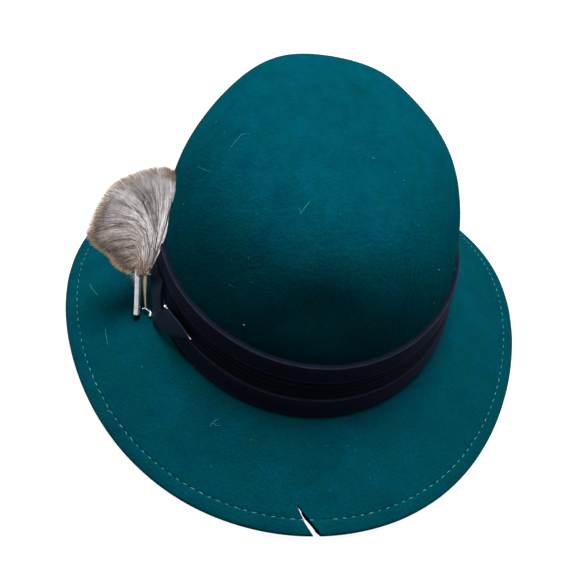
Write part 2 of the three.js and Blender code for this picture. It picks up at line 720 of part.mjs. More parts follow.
const group = new THREE.Group();
group.add(
  feltBody(),
  ribbonBand(),
  ribbonEnd('ribbon_end_upper', UPPER_END),
  ribbonEnd('ribbon_end_lower', LOWER_END),
  brushTube(),
  broochStem(),
  fixingPin(),
  furBrush(),
);

export default group;
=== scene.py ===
import math

import bpy
import numpy as np
from bpy.props import FloatProperty, FloatVectorProperty, IntProperty, PointerProperty
from mathutils import Matrix, Vector


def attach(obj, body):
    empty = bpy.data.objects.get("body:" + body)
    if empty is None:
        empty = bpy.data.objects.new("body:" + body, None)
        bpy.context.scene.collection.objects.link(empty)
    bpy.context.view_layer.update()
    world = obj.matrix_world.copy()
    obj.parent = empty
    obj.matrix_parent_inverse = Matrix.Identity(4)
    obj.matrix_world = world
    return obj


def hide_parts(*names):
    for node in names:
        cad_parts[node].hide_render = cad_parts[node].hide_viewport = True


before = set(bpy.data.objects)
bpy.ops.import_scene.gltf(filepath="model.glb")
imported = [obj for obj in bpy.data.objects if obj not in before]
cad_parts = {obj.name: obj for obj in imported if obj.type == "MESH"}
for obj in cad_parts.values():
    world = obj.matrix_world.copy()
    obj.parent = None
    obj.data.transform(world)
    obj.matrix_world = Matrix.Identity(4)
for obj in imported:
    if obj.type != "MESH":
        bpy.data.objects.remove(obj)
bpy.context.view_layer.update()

bl_info = {
    "name": "Tyrolean Hat",
    "version": (1, 0, 0),
    "blender": (4, 5, 0),
    "location": "View3D > Sidebar > Hat",
    "description": "Felt, ribbon, stitching and brush of a tyrolean hat, built on its packed solids",
    "category": "Object",
}

MM = 0.001
TRIM_LIGHT = "lit_by_trim_light"
# How many waves Blender's wave texture makes in 2 pi units at scale 1
WAVES_TURN = 20
# Shares of the crown's height between which its felt gets paler: dust specks and painted light on the
# upward-facing top
DUST_AND_TOP_LIGHT_HEIGHT = (0.45, 0.65)
# Stitches: shortest and longest as shares of the run, and how far they turn each way, in radians
STITCH_RUN = (0.62, 1.12)
STITCH_SWAY = (0.05, 0.05, 0.16)
# Nap: shortest and longest as shares of a fibre, and how far they lean each way, in radians
NAP_HEIGHT = (0.45, 1.5)
NAP_LEAN = (0.95, 0.95, 3.0)
# How fast the frizz of the hair changes along it, for each metre
FRIZZ_WAVES = 90.0

# Eighths of a turn from the right side towards the back. Reach, lift and foot are shares of the brim's reach,
# the edge's lift and the foot's height; taper is how much the crown narrows, square how full its shoulder is.
ROUND = {
    "reach": (0.965, 1.0, 1.0, 1.02, 1.0, 0.968, 0.997, 0.963),
    "lift": (1.0, 0.03, 0.22, 0.03, 0.93, 0.03, 0.31, 0.03),
    "foot": (1.13, 1.08, 1.03, 0.98, 0.945, 0.94, 0.92, 1.03),
    "taper": (0.075, 0.098, 0.101, 0.13, 0.121, 0.122, 0.117, 0.096),
    "square": (3.23, 3.23, 3.32, 3.1, 2.95, 3.25, 4.0, 3.35),
}

# Dents of the crown, and swellings where deep is negative: across, along, up, wide, deep
DENTS = (
    (-0.26, -0.36, 0.92, 0.17, 1.1),
    (0.14, -0.35, 0.95, 0.14, 0.9),
    (-0.12, 0.01, 1.0, 0.12, 0.7),
    (-0.13, -0.84, 0.56, 0.1, 1.1),
    (-0.06, -0.68, 0.77, 0.1, -0.5),
    (-0.86, 0.1, 0.6, 0.16, -0.5),
    (-0.6, 0.3, 0.87, 0.12, 1.1),
    (0.04, 0.5, 0.98, 0.13, 1.2),
    (0.55, 0.18, 0.94, 0.12, 0.3),
    (-0.24, 0.5, 0.98, 0.12, -0.35),
    (0.73, -0.1, 0.84, 0.16, -0.45),
    (0.38, 0.42, 0.97, 0.12, -0.5),
    (0.0, -0.5, 0.97, 0.12, 0.4),
    (-0.2, -0.9, 0.7, 0.12, -0.4),
    (-0.6, -0.7, 0.6, 0.12, 0.3),
    (-0.45, -0.62, 0.86, 0.12, -0.3),
)

# Outline of the cut in the brim: inward and side as shares of its depth, wide of its mouth
CUT = (
    (1.0, -0.71, 0.04),
    (0.85, -0.63, 0.28),
    (0.69, -0.53, 0.45),
    (0.38, -0.31, 0.85),
    (0.2, -0.17, 0.94),
    (0.0, 0.0, 1.0),
    (-0.3, 0.2, 1.1),
)

# The band's section from its top edge: share of its height, share of its thickness
PLEATS = (
    (0.0, 0.52), (0.015, 0.68), (0.04, 0.73), (0.27, 0.72), (0.295, 0.7), (0.3, 0.42), (0.385, 0.57),
    (0.392, 0.4), (0.485, 0.57), (0.492, 0.4), (0.56, 0.57), (0.567, 0.42), (0.655, 0.6), (0.665, 0.74),
    (0.69, 0.86), (0.74, 0.97), (0.8, 1.01), (0.87, 1.0), (0.93, 0.95), (0.97, 0.87),
)
BAND_BOTTOM = 0.8

# Edges of the band's folds, painted pale as highlights where they catch the light and as rubbed wear: share
# of its height, how pale, how wide
RUBBED_AND_HIGHLIT = (
    (0.014, 0.6, 0.008),
    (0.292, 0.55, 0.01),
    (0.385, 0.12, 0.008),
    (0.485, 0.12, 0.008),
    (0.565, 0.16, 0.008),
    (0.668, 0.3, 0.01),
)
# Shares of the band's height between which the recessed pleats get painted shade
PLEATED = (0.3, 0.655)

# Ribbon ends: bearings of the low and high edge, their heights as shares of the band's height, and how far
# they stand off it as shares of its thickness
UPPER_END = (
    (194.2, 196.3, 0.8, 0.9, 0.8, 0.3),
    (193.8, 196.4, 0.64, 0.78, 0.85, 0.2),
    (193.2, 196.8, 0.52, 0.69, 0.85, 0.0),
    (192.5, 197.5, 0.46, 0.64, 0.75, -0.4),
    (194.0, 198.7, 0.38, 0.56, 0.85, -0.2),
    (196.2, 200.4, 0.26, 0.44, 0.85, 0.2),
    (199.0, 202.8, 0.11, 0.28, 0.9, 0.3),
    (200.4, 203.8, 0.06, 0.24, 0.9, 0.4),
)
LOWER_END = (
    (199.8, 203.0, 0.04, 0.3, 1.0, 0.75),
    (201.6, 204.6, 0.0, 0.36, 1.1, 0.65),
    (205.4, 206.9, 0.03, 0.5, 0.95, 0.3),
    (210.2, 211.9, 0.15, 0.555, 0.6, 0.2),
    (214.8, 216.7, 0.3, 0.565, 0.35, 0.2),
    (218.4, 219.4, 0.43, 0.525, 0.3, 0.22),
)
PIN_ENDS = ((204.0, 0.392, -0.045), (220.6, 0.462, -0.045))

# The stem beside the tube: down, aside and fore as shares of the tube's length, thick of its radius
STEM = (
    (0.12, 0.0, 0.0, 0.8),
    (0.15, 0.0, 0.0, 0.9),
    (0.3, 0.0, 0.0, 0.92),
    (0.45, 0.004, 0.0, 0.72),
    (0.6, 0.01, 0.0, 0.52),
    (0.8, 0.025, 0.0, 0.36),
    (0.87, 0.035, 0.01, 0.3),
)
WIRE = (
    (0.9, -0.03, -0.01, 0.16),
    (0.875, 0.01, 0.0, 0.2),
    (0.872, 0.05, 0.04, 0.2),
    (0.868, 0.08, 0.08, 0.22),
    (0.862, 0.1, 0.105, 0.22),
)
DROP = (
    (0.856, 0.1, 0.105, 0.2),
    (0.868, 0.104, 0.115, 0.3),
    (0.885, 0.108, 0.122, 0.5),
    (0.915, 0.106, 0.127, 0.62),
    (0.938, 0.104, 0.127, 0.56),
    (0.955, 0.104, 0.127, 0.2),
)

# The fan of hair, from the crown's side over to its low side: the angle at which a hair ends and how far out,
# then the angle and distance of the place where it bends over, in degrees and millimetres
FAN = (
    (-22, 54, -34, 26),
    (-16, 55, -31, 28),
    (-5, 52.5, -28, 30),
    (5, 50, -26, 31),
    (14, 48.5, -24, 32),
    (26, 44, -22, 32),
    (35, 41, -20, 32),
    (45, 38.5, -18, 31),
    (56, 36.5, -15, 30),
    (63, 28, -11, 25),
    (70, 22, -4, 17),
    (84, 18.5, 10, 11),
    (98, 15, 24, 7),
    (114, 11.5, 36, 6),
)

# Single hairs that hang loose beside the tube: how far out, down and forward their tips are, in millimetres
LOOSE = (
    (6.5, 5.5, 2), (7.2, 2.8, 1), (3.4, 8.2, 2), (5, 7, 3), (4.4, 3.2, 3),
    (8.6, 4.6, 0), (-9, 3.2, 3), (-10.4, 5, 3), (-7, 1.8, 4), (2.4, 5.4, 4),
)

# The white floor, which curves up into a dome: distance from the middle and height, in metres
BACKDROP = ((0.6, -0.0002), (2.6, -0.0002), (3.1, 0.06), (3.6, 0.4), (3.8, 1), (3.8, 2.4), (3, 3.8), (1, 4.6))

# Lint. On the crown: thickness, then bearings with shares of the height. On the brim: thickness, then
# bearings with distances out from the crown in millimetres.
CROWN_LINT = (
    (0.9, (194.5, 0.889), (193, 0.905), (191.5, 0.921), (190.5, 0.931), (192.5, 0.94), (192, 0.948)),
    (0.6, (187, 0.75), (191.5, 0.778), (195.5, 0.802), (197, 0.82)),
    (0.9, (248, 0.92), (249.5, 0.937), (251.5, 0.953)),
    (0.6, (246, 0.93), (247, 0.928), (248.5, 0.92)),
    (2.2, (304, 0.99), (304.5, 0.989), (305, 0.989)),
    (1.5, (311, 0.967), (311.4, 0.966), (311.8, 0.965)),
    (1.5, (312, 0.95), (312.4, 0.949), (312.8, 0.948)),
    (1.6, (237.5, 0.441), (238, 0.443), (238.5, 0.441)),
    (1.8, (313, 0.639), (313.5, 0.634), (313.8, 0.628)),
)
BRIM_LINT = (
    (0.8, (180.5, 41), (183.1, 38.2), (185.9, 34.6)),
    (0.7, (195.6, 33), (198.3, 33.6), (201.1, 34)),
    (1.3, (211.2, 23), (211.5, 22.6), (211.8, 22.4)),
    (0.9, (237.7, 20.1), (238.1, 16.8), (239.1, 14.1)),
    (0.7, (237.9, 17.4), (239.4, 17.8), (240.2, 16.6)),
    (1.5, (215, 47.3), (215.2, 47), (215.4, 46.6)),
)


def srgb(red, green, blue):
    """Linear colour of a screen colour told in 256ths"""
    shares = (c / 255 for c in (red, green, blue))
    return tuple(((c + 0.055) / 1.055) ** 2.4 if c > 10 / 255 else c / 12.92 for c in shares)


def length(name, value, text):
    """Property for a length that is told in millimetres"""
    return FloatProperty(name=name, description=text, default=value * MM, unit="LENGTH", subtype="DISTANCE")


def share(name, value, text):
    return FloatProperty(name=name, description=text, default=value)


def angle(name, value, text):
    """Property for an angle that is told in degrees"""
    return FloatProperty(
        name=name, description=text, default=math.radians(value), unit="ROTATION", subtype="ANGLE"
    )


def colour(name, screen, text):
    """Property for a colour that is told as a screen colour"""
    return FloatVectorProperty(
        name=name, description=text, default=srgb(*screen), size=3, min=0, max=1, subtype="COLOR"
    )


def power(name, value, text):
    return FloatProperty(name=name, description=text, default=value, min=0)


class HatForm(bpy.types.PropertyGroup):
    felt: length("Felt", 2.2, "Wall of the felt")
    head_width: length("Head width", 165.6, "Inside width at the crown's foot")
    head_length: length("Head length", 192, "Inside length at the crown's foot")
    crown_top: length("Crown top", 144.5, "Height of the crown above the resting surface")
    crown_lean: share("Crown lean", 0.123, "Rise of the crown's top towards the back")
    foot_height: length("Foot height", 34, "Height at which the brim leaves the crown")
    foot_fillet: length("Foot fillet", 4, "Radius between crown and brim")
    brim_reach: length("Brim reach", 55, "How far the brim stands out")
    brim_curve: share("Brim curve", 0.12, "How much steeper the brim starts than it ends")
    edge_lift: length("Edge lift", 14.4, "How much the curled sides rise")
    hem_width: length("Hem width", 9, "Width of the folded hem")
    hem_thick: length("Hem thickness", 3.8, "Thickness of the folded hem")
    hem_step: length("Hem step", 1.4, "Width of the slope where the hem ends")
    rest_flat: length("Resting flat", 0.8, "Depth that the felt is pressed flat where it rests")
    dent: length("Dent", 2, "Depth of a dent of full size")
    dent_fade: share("Dent fade", 0.4, "Share of the crown over which dents fade out")
    cut_bearing: angle("Cut bearing", 268, "Where the cut in the brim is")
    cut_depth: length("Cut depth", 14.5, "How far the cut runs in")
    cut_mouth: length("Cut mouth", 4.2, "Width of the cut at the edge")
    ripple: length("Ripple", 0.16, "Height of the felt's soft unevenness")
    groove: length("Groove", 0.4, "How deep the stitches pull the felt in")
    lint: length("Lint", 0.14, "Radius of a fibre of lint")
    colour: colour("Felt colour", (0, 89, 108), "Colour of the felt's nap")
    deep: colour("Deep colour", (0, 67, 84), "Colour of the felt where the nap is pressed")
    greener: colour("Greener colour", (0, 82, 80), "Colour of the felt where it has faded")


class HatRibbon(bpy.types.PropertyGroup):
    height: length("Band height", 36, "Height of the pleated band")
    thick: length("Band thickness", 3.2, "How far the band's roll stands off the crown")
    end_thick: length("End thickness", 0.8, "Thickness of the loose ends")
    gap: length("Gap", 0.3, "Room between pieces that touch")
    rib: length("Rib", 0.9, "Distance from one rib of the ribbon to the next")
    yarn: length("Yarn", 0.45, "Distance from one yarn of the ribbon to the next")
    colour: colour("Ribbon colour", (29, 32, 52), "Colour of the ribbon")
    satin: colour("Satin colour", (38, 50, 70), "Colour of the ribbon's satin side")
    # Colour of the fold edges' painted highlights and rubbed wear
    rubbed: colour("Rubbed colour", (78, 100, 122), "Colour of the ribbon's rubbed edges and folds")


class HatStitch(bpy.types.PropertyGroup):
    inset: length("Inset", 7.4, "Distance from the brim's edge")
    pitch: length("Pitch", 4.7, "Distance from one stitch to the next")
    run: length("Run", 2.7, "Length of a stitch")
    thick: length("Thread", 0.33, "Thickness of the thread")
    seed: IntProperty(name="Seed", description="Draws which stitches are worn", default=7)
    colour: colour("Thread colour", (134, 206, 208), "Colour of the thread")


class HatBrush(bpy.types.PropertyGroup):
    bearing: angle("Bearing", 194, "Where the brush is pinned")
    tube_radius: length("Tube radius", 1.9, "Outer radius of the tube")
    tube_wall: length("Tube wall", 0.35, "Wall of the tube")
    tube_length: length("Tube length", 28, "Length of the tube")
    tube_stand: length("Tube stand", 12, "How far its lower end stands from the band")
    tube_fore: length("Tube fore", 5.6, "How far forward its lower end stands")
    tube_clear: length("Tube clearance", 0.87, "Room between its lower edge and the brim")
    tube_lean: angle("Tube lean", 25, "How far it leans to the back")
    tube_tilt: angle("Tube tilt", 9.1, "How far it leans to the crown")
    stem_radius: length("Stem radius", 1.8, "Thickest radius of the stem beside the tube")
    pin_radius: length("Pin radius", 0.45, "Radius of the pin")
    pin_head: length("Pin head", 1, "Radius of the pin's head")
    knot_depth: length("Knot depth", 4.6, "How far the hair's knot lies towards the crown")
    knot_rise: length("Knot rise", 1.84, "How far the knot lies above the tube")
    bundle: length("Bundle", 5.4, "Width of the hairs' roots over the tube and the stem")
    bundle_drop: length("Bundle drop", 4.2, "How far the hairs cover the top of the tube")
    hairs: IntProperty(name="Hairs", description="How many hairs the brush has", default=6600, min=10)
    hair_radius: length("Hair radius", 0.12, "Radius of a hair")
    seed: IntProperty(name="Seed", description="Draws the hairs", default=11)
    pale: colour("Pale hair", (246, 240, 241), "Colour of the hair's middle")
    brown: colour("Brown hair", (86, 69, 63), "Colour of the hair towards its tip, and of single hairs")
    dark: colour("Dark hair", (84, 66, 54), "Colour of the narrow band below the tip")
    gold: colour("Golden hair", (186, 160, 128), "Colour of the tip")
    rim: length("Rim", 1.9, "Length of a hair's coloured tip")
    silver: colour("Silver", (184, 185, 187), "Colour of the tube and the pin")
    brass: colour("Brass", (146, 136, 118), "Colour of the stem")


class HatStage(bpy.types.PropertyGroup):
    sky: power("Sky", 0.036, "Strength of the light from all round")
    key: power("Key", 29.4, "Power of the soft light above the back")
    fill: power("Fill", 0.03, "Power of the soft light above the camera")
    trim: power("Trim", 6.0, "Power of the light on the brush and its fittings")
    lens: FloatProperty(name="Lens", description="Focal length in millimetres", default=40.195, min=1)


# Forms: surfaces, meshes and finishes


def unit(vectors):
    return vectors / np.maximum(np.linalg.norm(vectors, axis=-1, keepdims=True), 1e-12)


def between(values, part):
    """Value a part of the way from the first to the second"""
    return values[0] + (values[1] - values[0]) * part


def eased(t, before, low, high, after):
    """Value a part of the way from low to high, on a smooth curve through them and their neighbours"""
    ease = t * t * (3 - 2 * t)
    bend = (t ** 3 - 2 * t ** 2 + t) * (high - before) / 2 + (t ** 3 - t ** 2) * (after - low) / 2
    return (1 - ease) * low + ease * high + bend


def column(name, bearing):
    """Value of a ROUND column at each bearing, on a smooth curve through the rows"""
    values = np.array(ROUND[name])
    place = np.asarray(bearing, float) / (360 / len(values))
    first = np.floor(place).astype(int)
    return eased(place - first, *(values[(first + step) % len(values)] for step in (-1, 0, 1, 2)))


def smooth_rows(table, steps):
    """Table rows with smooth steps between them"""
    rows = np.array(table, float)
    ends = np.vstack([2 * rows[0] - rows[1], rows, 2 * rows[-1] - rows[-2]])
    smooth = [eased(t, *ends[k:k + 4]) for k in range(len(rows) - 1) for t in np.arange(steps) / steps]
    return np.array([*smooth, rows[-1]])


def ripple(points, size, seed):
    """Soft unevenness from -1 to 1 at each point, its waves about one size long"""
    draw = np.random.default_rng(seed)
    crests = unit(draw.normal(size=(9, 3))) * draw.uniform(0.7, 1.5, (9, 1)) * 2 * np.pi / size
    return np.sin(points @ crests.T + draw.uniform(0, 2 * np.pi, 9)).mean(-1) * 1.8


class Felt:
    """Surfaces of the crown and brim, worked out from the sizes in the side panel"""

    def __init__(self, form):
        self.form = form
        self.foot_x = form.head_width / 2 + form.felt
        self.foot_y = form.head_length / 2 + form.felt
        self.edge_radius = form.hem_thick / 2

    def outward(self, bearing):
        a = np.radians(bearing)
        return unit(np.stack([np.cos(a) / self.foot_x, np.sin(a) / self.foot_y, 0 * a], -1))

    def foot(self, bearing):
        return self.form.foot_height * column("foot", bearing)

    def dent_depth(self, point, foot):
        depth = 0
        for across, along, up, wide, deep in DENTS:
            away = np.stack([
                point[..., 0] - across * self.foot_x,
                point[..., 1] - along * self.foot_y,
                point[..., 2] - foot - up * (self.form.crown_top - foot),
            ], -1)
            reach = np.linalg.norm(away, axis=-1) / (wide * self.form.head_width)
            depth = depth + deep * self.form.dent * np.exp(-reach ** 2)
        return depth

    def crown(self, bearing, rise):
        """Outer face of the crown at shares of its height"""
        a = np.radians(bearing)
        square = column("square", bearing)
        full = np.maximum(1 - rise ** square, 0) ** (1 / square)
        shrink = (1 - column("taper", bearing) * rise) * full
        foot = self.foot(bearing)
        x = self.foot_x * np.cos(a) * shrink
        y = self.foot_y * np.sin(a) * shrink
        z = foot + (self.form.crown_top - foot + self.form.crown_lean * y) * rise
        steep = full ** (square - 1)
        level = rise ** (square - 1) / (self.form.crown_top - foot)
        face = np.stack([np.cos(a) * steep / self.foot_x, np.sin(a) * steep / self.foot_y, level + 0 * x], -1)
        point = np.stack([x, y, z], -1)
        depth = self.dent_depth(point, foot) * np.minimum(1, rise / self.form.dent_fade)
        return point - unit(face) * depth[..., None]

    def rise_at(self, bearing, height):
        reach = self.form.crown_top - self.foot(bearing)
        rise = height / reach
        for _ in range(3):
            rise = height / (reach + self.form.crown_lean * self.crown(bearing, rise)[..., 1])
        return rise

    def beside(self, bearing, height, off):
        """Points outside the crown's wall, at a height above its foot and a distance off the felt"""
        height = height + 0 * bearing
        point = self.crown(bearing, self.rise_at(bearing, np.maximum(height, 0)))
        point = point + self.outward(bearing) * np.asarray(off + 0 * height)[..., None]
        point[..., 2] = self.foot(bearing) + height
        return point

    def reach(self, bearing):
        return self.form.brim_reach * column("reach", bearing) - self.edge_radius

    def fall(self, bearing):
        edge = self.edge_radius - self.form.rest_flat + self.form.edge_lift * column("lift", bearing)
        return self.foot(bearing) - edge - self.edge_radius

    def slope(self, bearing):
        return np.arctan2(self.fall(bearing) * (1 + self.form.brim_curve), self.reach(bearing))

    def brim(self, bearing, part):
        """Upper face of the brim at shares of the way from the foot to the edge"""
        a = np.radians(bearing)
        drop = part * (1 + self.form.brim_curve * (1 - part))
        out = self.outward(bearing) * (part * self.reach(bearing))[..., None]
        x = self.foot_x * np.cos(a) + out[..., 0]
        y = self.foot_y * np.sin(a) + out[..., 1]
        return np.stack([x, y, self.foot(bearing) - self.fall(bearing) * drop], -1)

    def on_brim(self, bearing, out, clear):
        """Points on the brim a distance out from the foot, lifted clear of the felt"""
        point = self.brim(bearing, out / self.reach(bearing))
        point[..., 2] += clear / np.cos(self.slope(bearing))
        return point

    def fillet_top(self, bearing):
        slope = self.slope(bearing)
        return self.form.foot_fillet * (1 - np.sin(slope)) / np.cos(slope)

    def fillet(self, bearing, part):
        turn = part * (np.pi / 2 - self.slope(bearing))
        height = self.fillet_top(bearing) - self.form.foot_fillet * np.sin(turn)
        point = self.beside(bearing, np.maximum(height, 0), self.form.foot_fillet * (1 - np.cos(turn)))
        point[..., 2] = self.foot(bearing) + height
        return point


def grid_faces(rings):
    """Outward face at each point of a grid of rings that run down"""
    along = np.roll(rings, -1, 1) - np.roll(rings, 1, 1)
    down = np.gradient(rings, axis=0)
    return unit(np.cross(down, along))


def signed_volume(mesh):
    mesh.calc_loop_triangles()
    corners = np.zeros(len(mesh.loop_triangles) * 3, np.int32)
    mesh.loop_triangles.foreach_get("vertices", corners)
    points = np.zeros(len(mesh.vertices) * 3, np.float32)
    mesh.vertices.foreach_get("co", points)
    a, b, c = points.reshape(-1, 3)[corners.reshape(-1, 3)].astype(float).transpose(1, 0, 2)
    return float((a * np.cross(b, c)).sum()) / 6


def added(name, data):
    """New object in the scene, at the world's origin"""
    thing = bpy.data.objects.new(name, data)
    bpy.context.scene.collection.objects.link(thing)
    return thing


def loft(name, rings, loop=False, poles=None, chart=None):
    """Piece whose surface runs through rings of points. It is closed into a loop, or by two end points.
    The chart gives each ring's place on the cloth, with one column more than the ring has points."""
    rings = np.asarray(rings, float)
    rows, sides = rings.shape[:2]
    index = np.arange(rows * sides).reshape(rows, sides)
    below = np.roll(index, -1, 0) if loop else index[1:]
    above = index if loop else index[:-1]
    quads = np.stack([above, np.roll(above, -1, 1), np.roll(below, -1, 1), below], -1).reshape(-1, 4)
    points = [rings.reshape(-1, 3)]
    faces = quads.tolist()
    if not loop:
        top, bottom = (rings[0].mean(0), rings[-1].mean(0)) if poles is None else poles
        points.append(np.array([top, bottom]))
        last = rows * sides
        faces += [[last, index[0][(s + 1) % sides], index[0][s]] for s in range(sides)]
        faces += [[last + 1, index[-1][s], index[-1][(s + 1) % sides]] for s in range(sides)]
    mesh = bpy.data.meshes.new(name)
    mesh.from_pydata(np.vstack(points), [], [[int(v) for v in face] for face in faces])
    if chart is not None:
        place = mesh.uv_layers.new(name="cloth")
        top, low = (chart, np.roll(chart, -1, 0)) if loop else (chart[:-1], chart[1:])
        corners = np.stack([top[:, :-1], top[:, 1:], low[:, 1:], low[:, :-1]], 2).reshape(-1, 2)
        flat = np.zeros((len(mesh.loops), 2), np.float32)
        flat[:len(corners)] = corners
        place.data.foreach_set("uv", flat.ravel())
    if signed_volume(mesh) < 0:
        mesh.flip_normals()
    mesh.shade_smooth()
    return added(name, mesh)


def dress(piece, material, slot, *nodes):
    """Gives a piece its finish and joins it to the frame"""
    piece.data.materials.clear()
    piece.data.materials.append(material)
    if slot in ("hair", "silver_metal", "brass_metal"):
        bpy.data.collections[TRIM_LIGHT].objects.link(piece)
    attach(piece, "root")
    if nodes:
        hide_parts(*nodes)
    return piece


def settled(piece):
    """Works the modifiers of a piece into a plain mesh"""
    view = bpy.context.evaluated_depsgraph_get()
    mesh = bpy.data.meshes.new_from_object(
        piece.evaluated_get(view), preserve_all_data_layers=True, depsgraph=view
    )
    piece.modifiers.clear()
    piece.data = mesh
    return piece


def points_piece(name, points, marks, edges=()):
    """Bare points, or lines through them, with their attributes, for a geometry tree to grow on"""
    mesh = bpy.data.meshes.new(name)
    mesh.from_pydata([tuple(p) for p in points], [tuple(e) for e in edges], [])
    for label, values in marks.items():
        values = np.asarray(values, np.float32)
        kind, field = ("FLOAT_VECTOR", "vector") if values.ndim == 2 else ("FLOAT", "value")
        mesh.attributes.new(label, kind, "POINT").data.foreach_set(field, values.ravel())
    return added(name, mesh)


# Node trees that grow stitches, hair, nap and lint


def node(tree, kind, inputs=None, **settings):
    """New node, its inputs given as values or as other nodes' outputs"""
    new = tree.nodes.new(kind)
    for name, value in settings.items():
        setattr(new, name, value)
    for name, value in (inputs or {}).items():
        if isinstance(value, bpy.types.NodeSocket):
            tree.links.new(value, new.inputs[name])
        else:
            new.inputs[name].default_value = value
    return new


def made(tree, kind, inputs=None, **settings):
    """First output of a new node"""
    return node(tree, kind, inputs, **settings).outputs[0]


def maths(tree, operation, first, second=0.0):
    return made(tree, "ShaderNodeMath", {0: first, 1: second}, operation=operation)


def times(tree, first, *others):
    """Product of values, taken from left to right"""
    for other in others:
        first = maths(tree, "MULTIPLY", first, other)
    return first


def drawn(tree, kind, low, high, seed):
    """Random number or vector between two others, for each instance"""
    first, last = (2, 3) if kind == "FLOAT" else (0, 1)
    numbers = node(tree, "FunctionNodeRandomValue", {first: low, last: high, "Seed": seed}, data_type=kind)
    return numbers.outputs[1 if kind == "FLOAT" else 0]


def mark(tree, name, kind):
    """Attribute of the geometry, in a geometry tree"""
    return made(tree, "GeometryNodeInputNamedAttribute", {"Name": name}, data_type=kind)


def vectors(tree, operation, first, second=None, scale=None):
    inputs = {0: first, 1: second, "Scale": scale}
    inputs = {name: value for name, value in inputs.items() if value is not None}
    return made(tree, "ShaderNodeVectorMath", inputs, operation=operation)


def growth_tree(name, inputs):
    """Geometry tree with a geometry input and output and the named inputs"""
    tree = bpy.data.node_groups.new(name, "GeometryNodeTree")
    tree.interface.new_socket("Geometry", in_out="INPUT", socket_type="NodeSocketGeometry")
    for label, kind in inputs:
        tree.interface.new_socket(label, in_out="INPUT", socket_type="NodeSocket" + kind)
    tree.interface.new_socket("Geometry", in_out="OUTPUT", socket_type="NodeSocketGeometry")
    return tree, tree.nodes.new("NodeGroupInput").outputs, tree.nodes.new("NodeGroupOutput").inputs[0]


def grow(piece, tree, values):
    """Puts a geometry tree on a piece with its inputs set, and works it into a plain mesh"""
    modifier = piece.modifiers.new(tree.name, "NODES")
    modifier.node_group = tree
    for item in tree.interface.items_tree:
        if item.in_out == "INPUT" and item.name in values:
            modifier[item.identifier] = values[item.name]
    return settled(piece)


def finish_tree(tree, geometry, material, out):
    """Ends a geometry tree: plain faces, smooth, with their material"""
    plain = made(tree, "GeometryNodeRealizeInstances", {"Geometry": geometry})
    smooth = made(tree, "GeometryNodeSetShadeSmooth", {"Geometry": plain})
    tree.links.new(made(tree, "GeometryNodeSetMaterial", {"Geometry": smooth, "Material": material}), out)


def thread_along(tree, line, radius, sides):
    """Capped round thread along lines"""
    ring = made(tree, "GeometryNodeCurvePrimitiveCircle", {"Resolution": sides, "Radius": 1.0})
    return made(tree, "GeometryNodeCurveToMesh", {
        "Curve": line, "Profile Curve": ring, "Scale": radius, "Fill Caps": True,
    })


def stitch_tree():
    """Stitches along a line: small thread bodies, some worn short, turned to the line and the felt"""
    tree, given, out = growth_tree("stitches", (
        ("Pitch", "Float"), ("Run", "Float"), ("Thread", "Float"), ("Seed", "Int"), ("Material", "Material"),
    ))
    line = made(tree, "GeometryNodeMeshToCurve", {"Mesh": given["Geometry"]})
    spaced = made(tree, "GeometryNodeResampleCurve", {"Curve": line, "Length": given["Pitch"]}, mode="LENGTH")
    facing, ahead = mark(tree, "face", "FLOAT_VECTOR"), made(tree, "GeometryNodeInputTangent")
    turn = made(tree, "FunctionNodeAxesToRotation", {
        "Primary Axis": facing, "Secondary Axis": ahead,
    }, primary_axis="Z", secondary_axis="X")
    ball = made(tree, "GeometryNodeMeshIcoSphere", {"Radius": 0.5, "Subdivisions": 2})
    run = times(tree, given["Run"], drawn(tree, "FLOAT", *STITCH_RUN, given["Seed"]))
    size = made(tree, "ShaderNodeCombineXYZ", {0: run, 1: given["Thread"], 2: given["Thread"]})
    placed = made(tree, "GeometryNodeInstanceOnPoints", {
        "Points": spaced, "Instance": ball, "Rotation": turn, "Scale": size,
    })
    sway = drawn(tree, "FLOAT_VECTOR", [-v for v in STITCH_SWAY], STITCH_SWAY, given["Seed"])
    turned = made(tree, "GeometryNodeRotateInstances", {"Instances": placed, "Rotation": sway})
    finish_tree(tree, turned, given["Material"], out)
    return tree


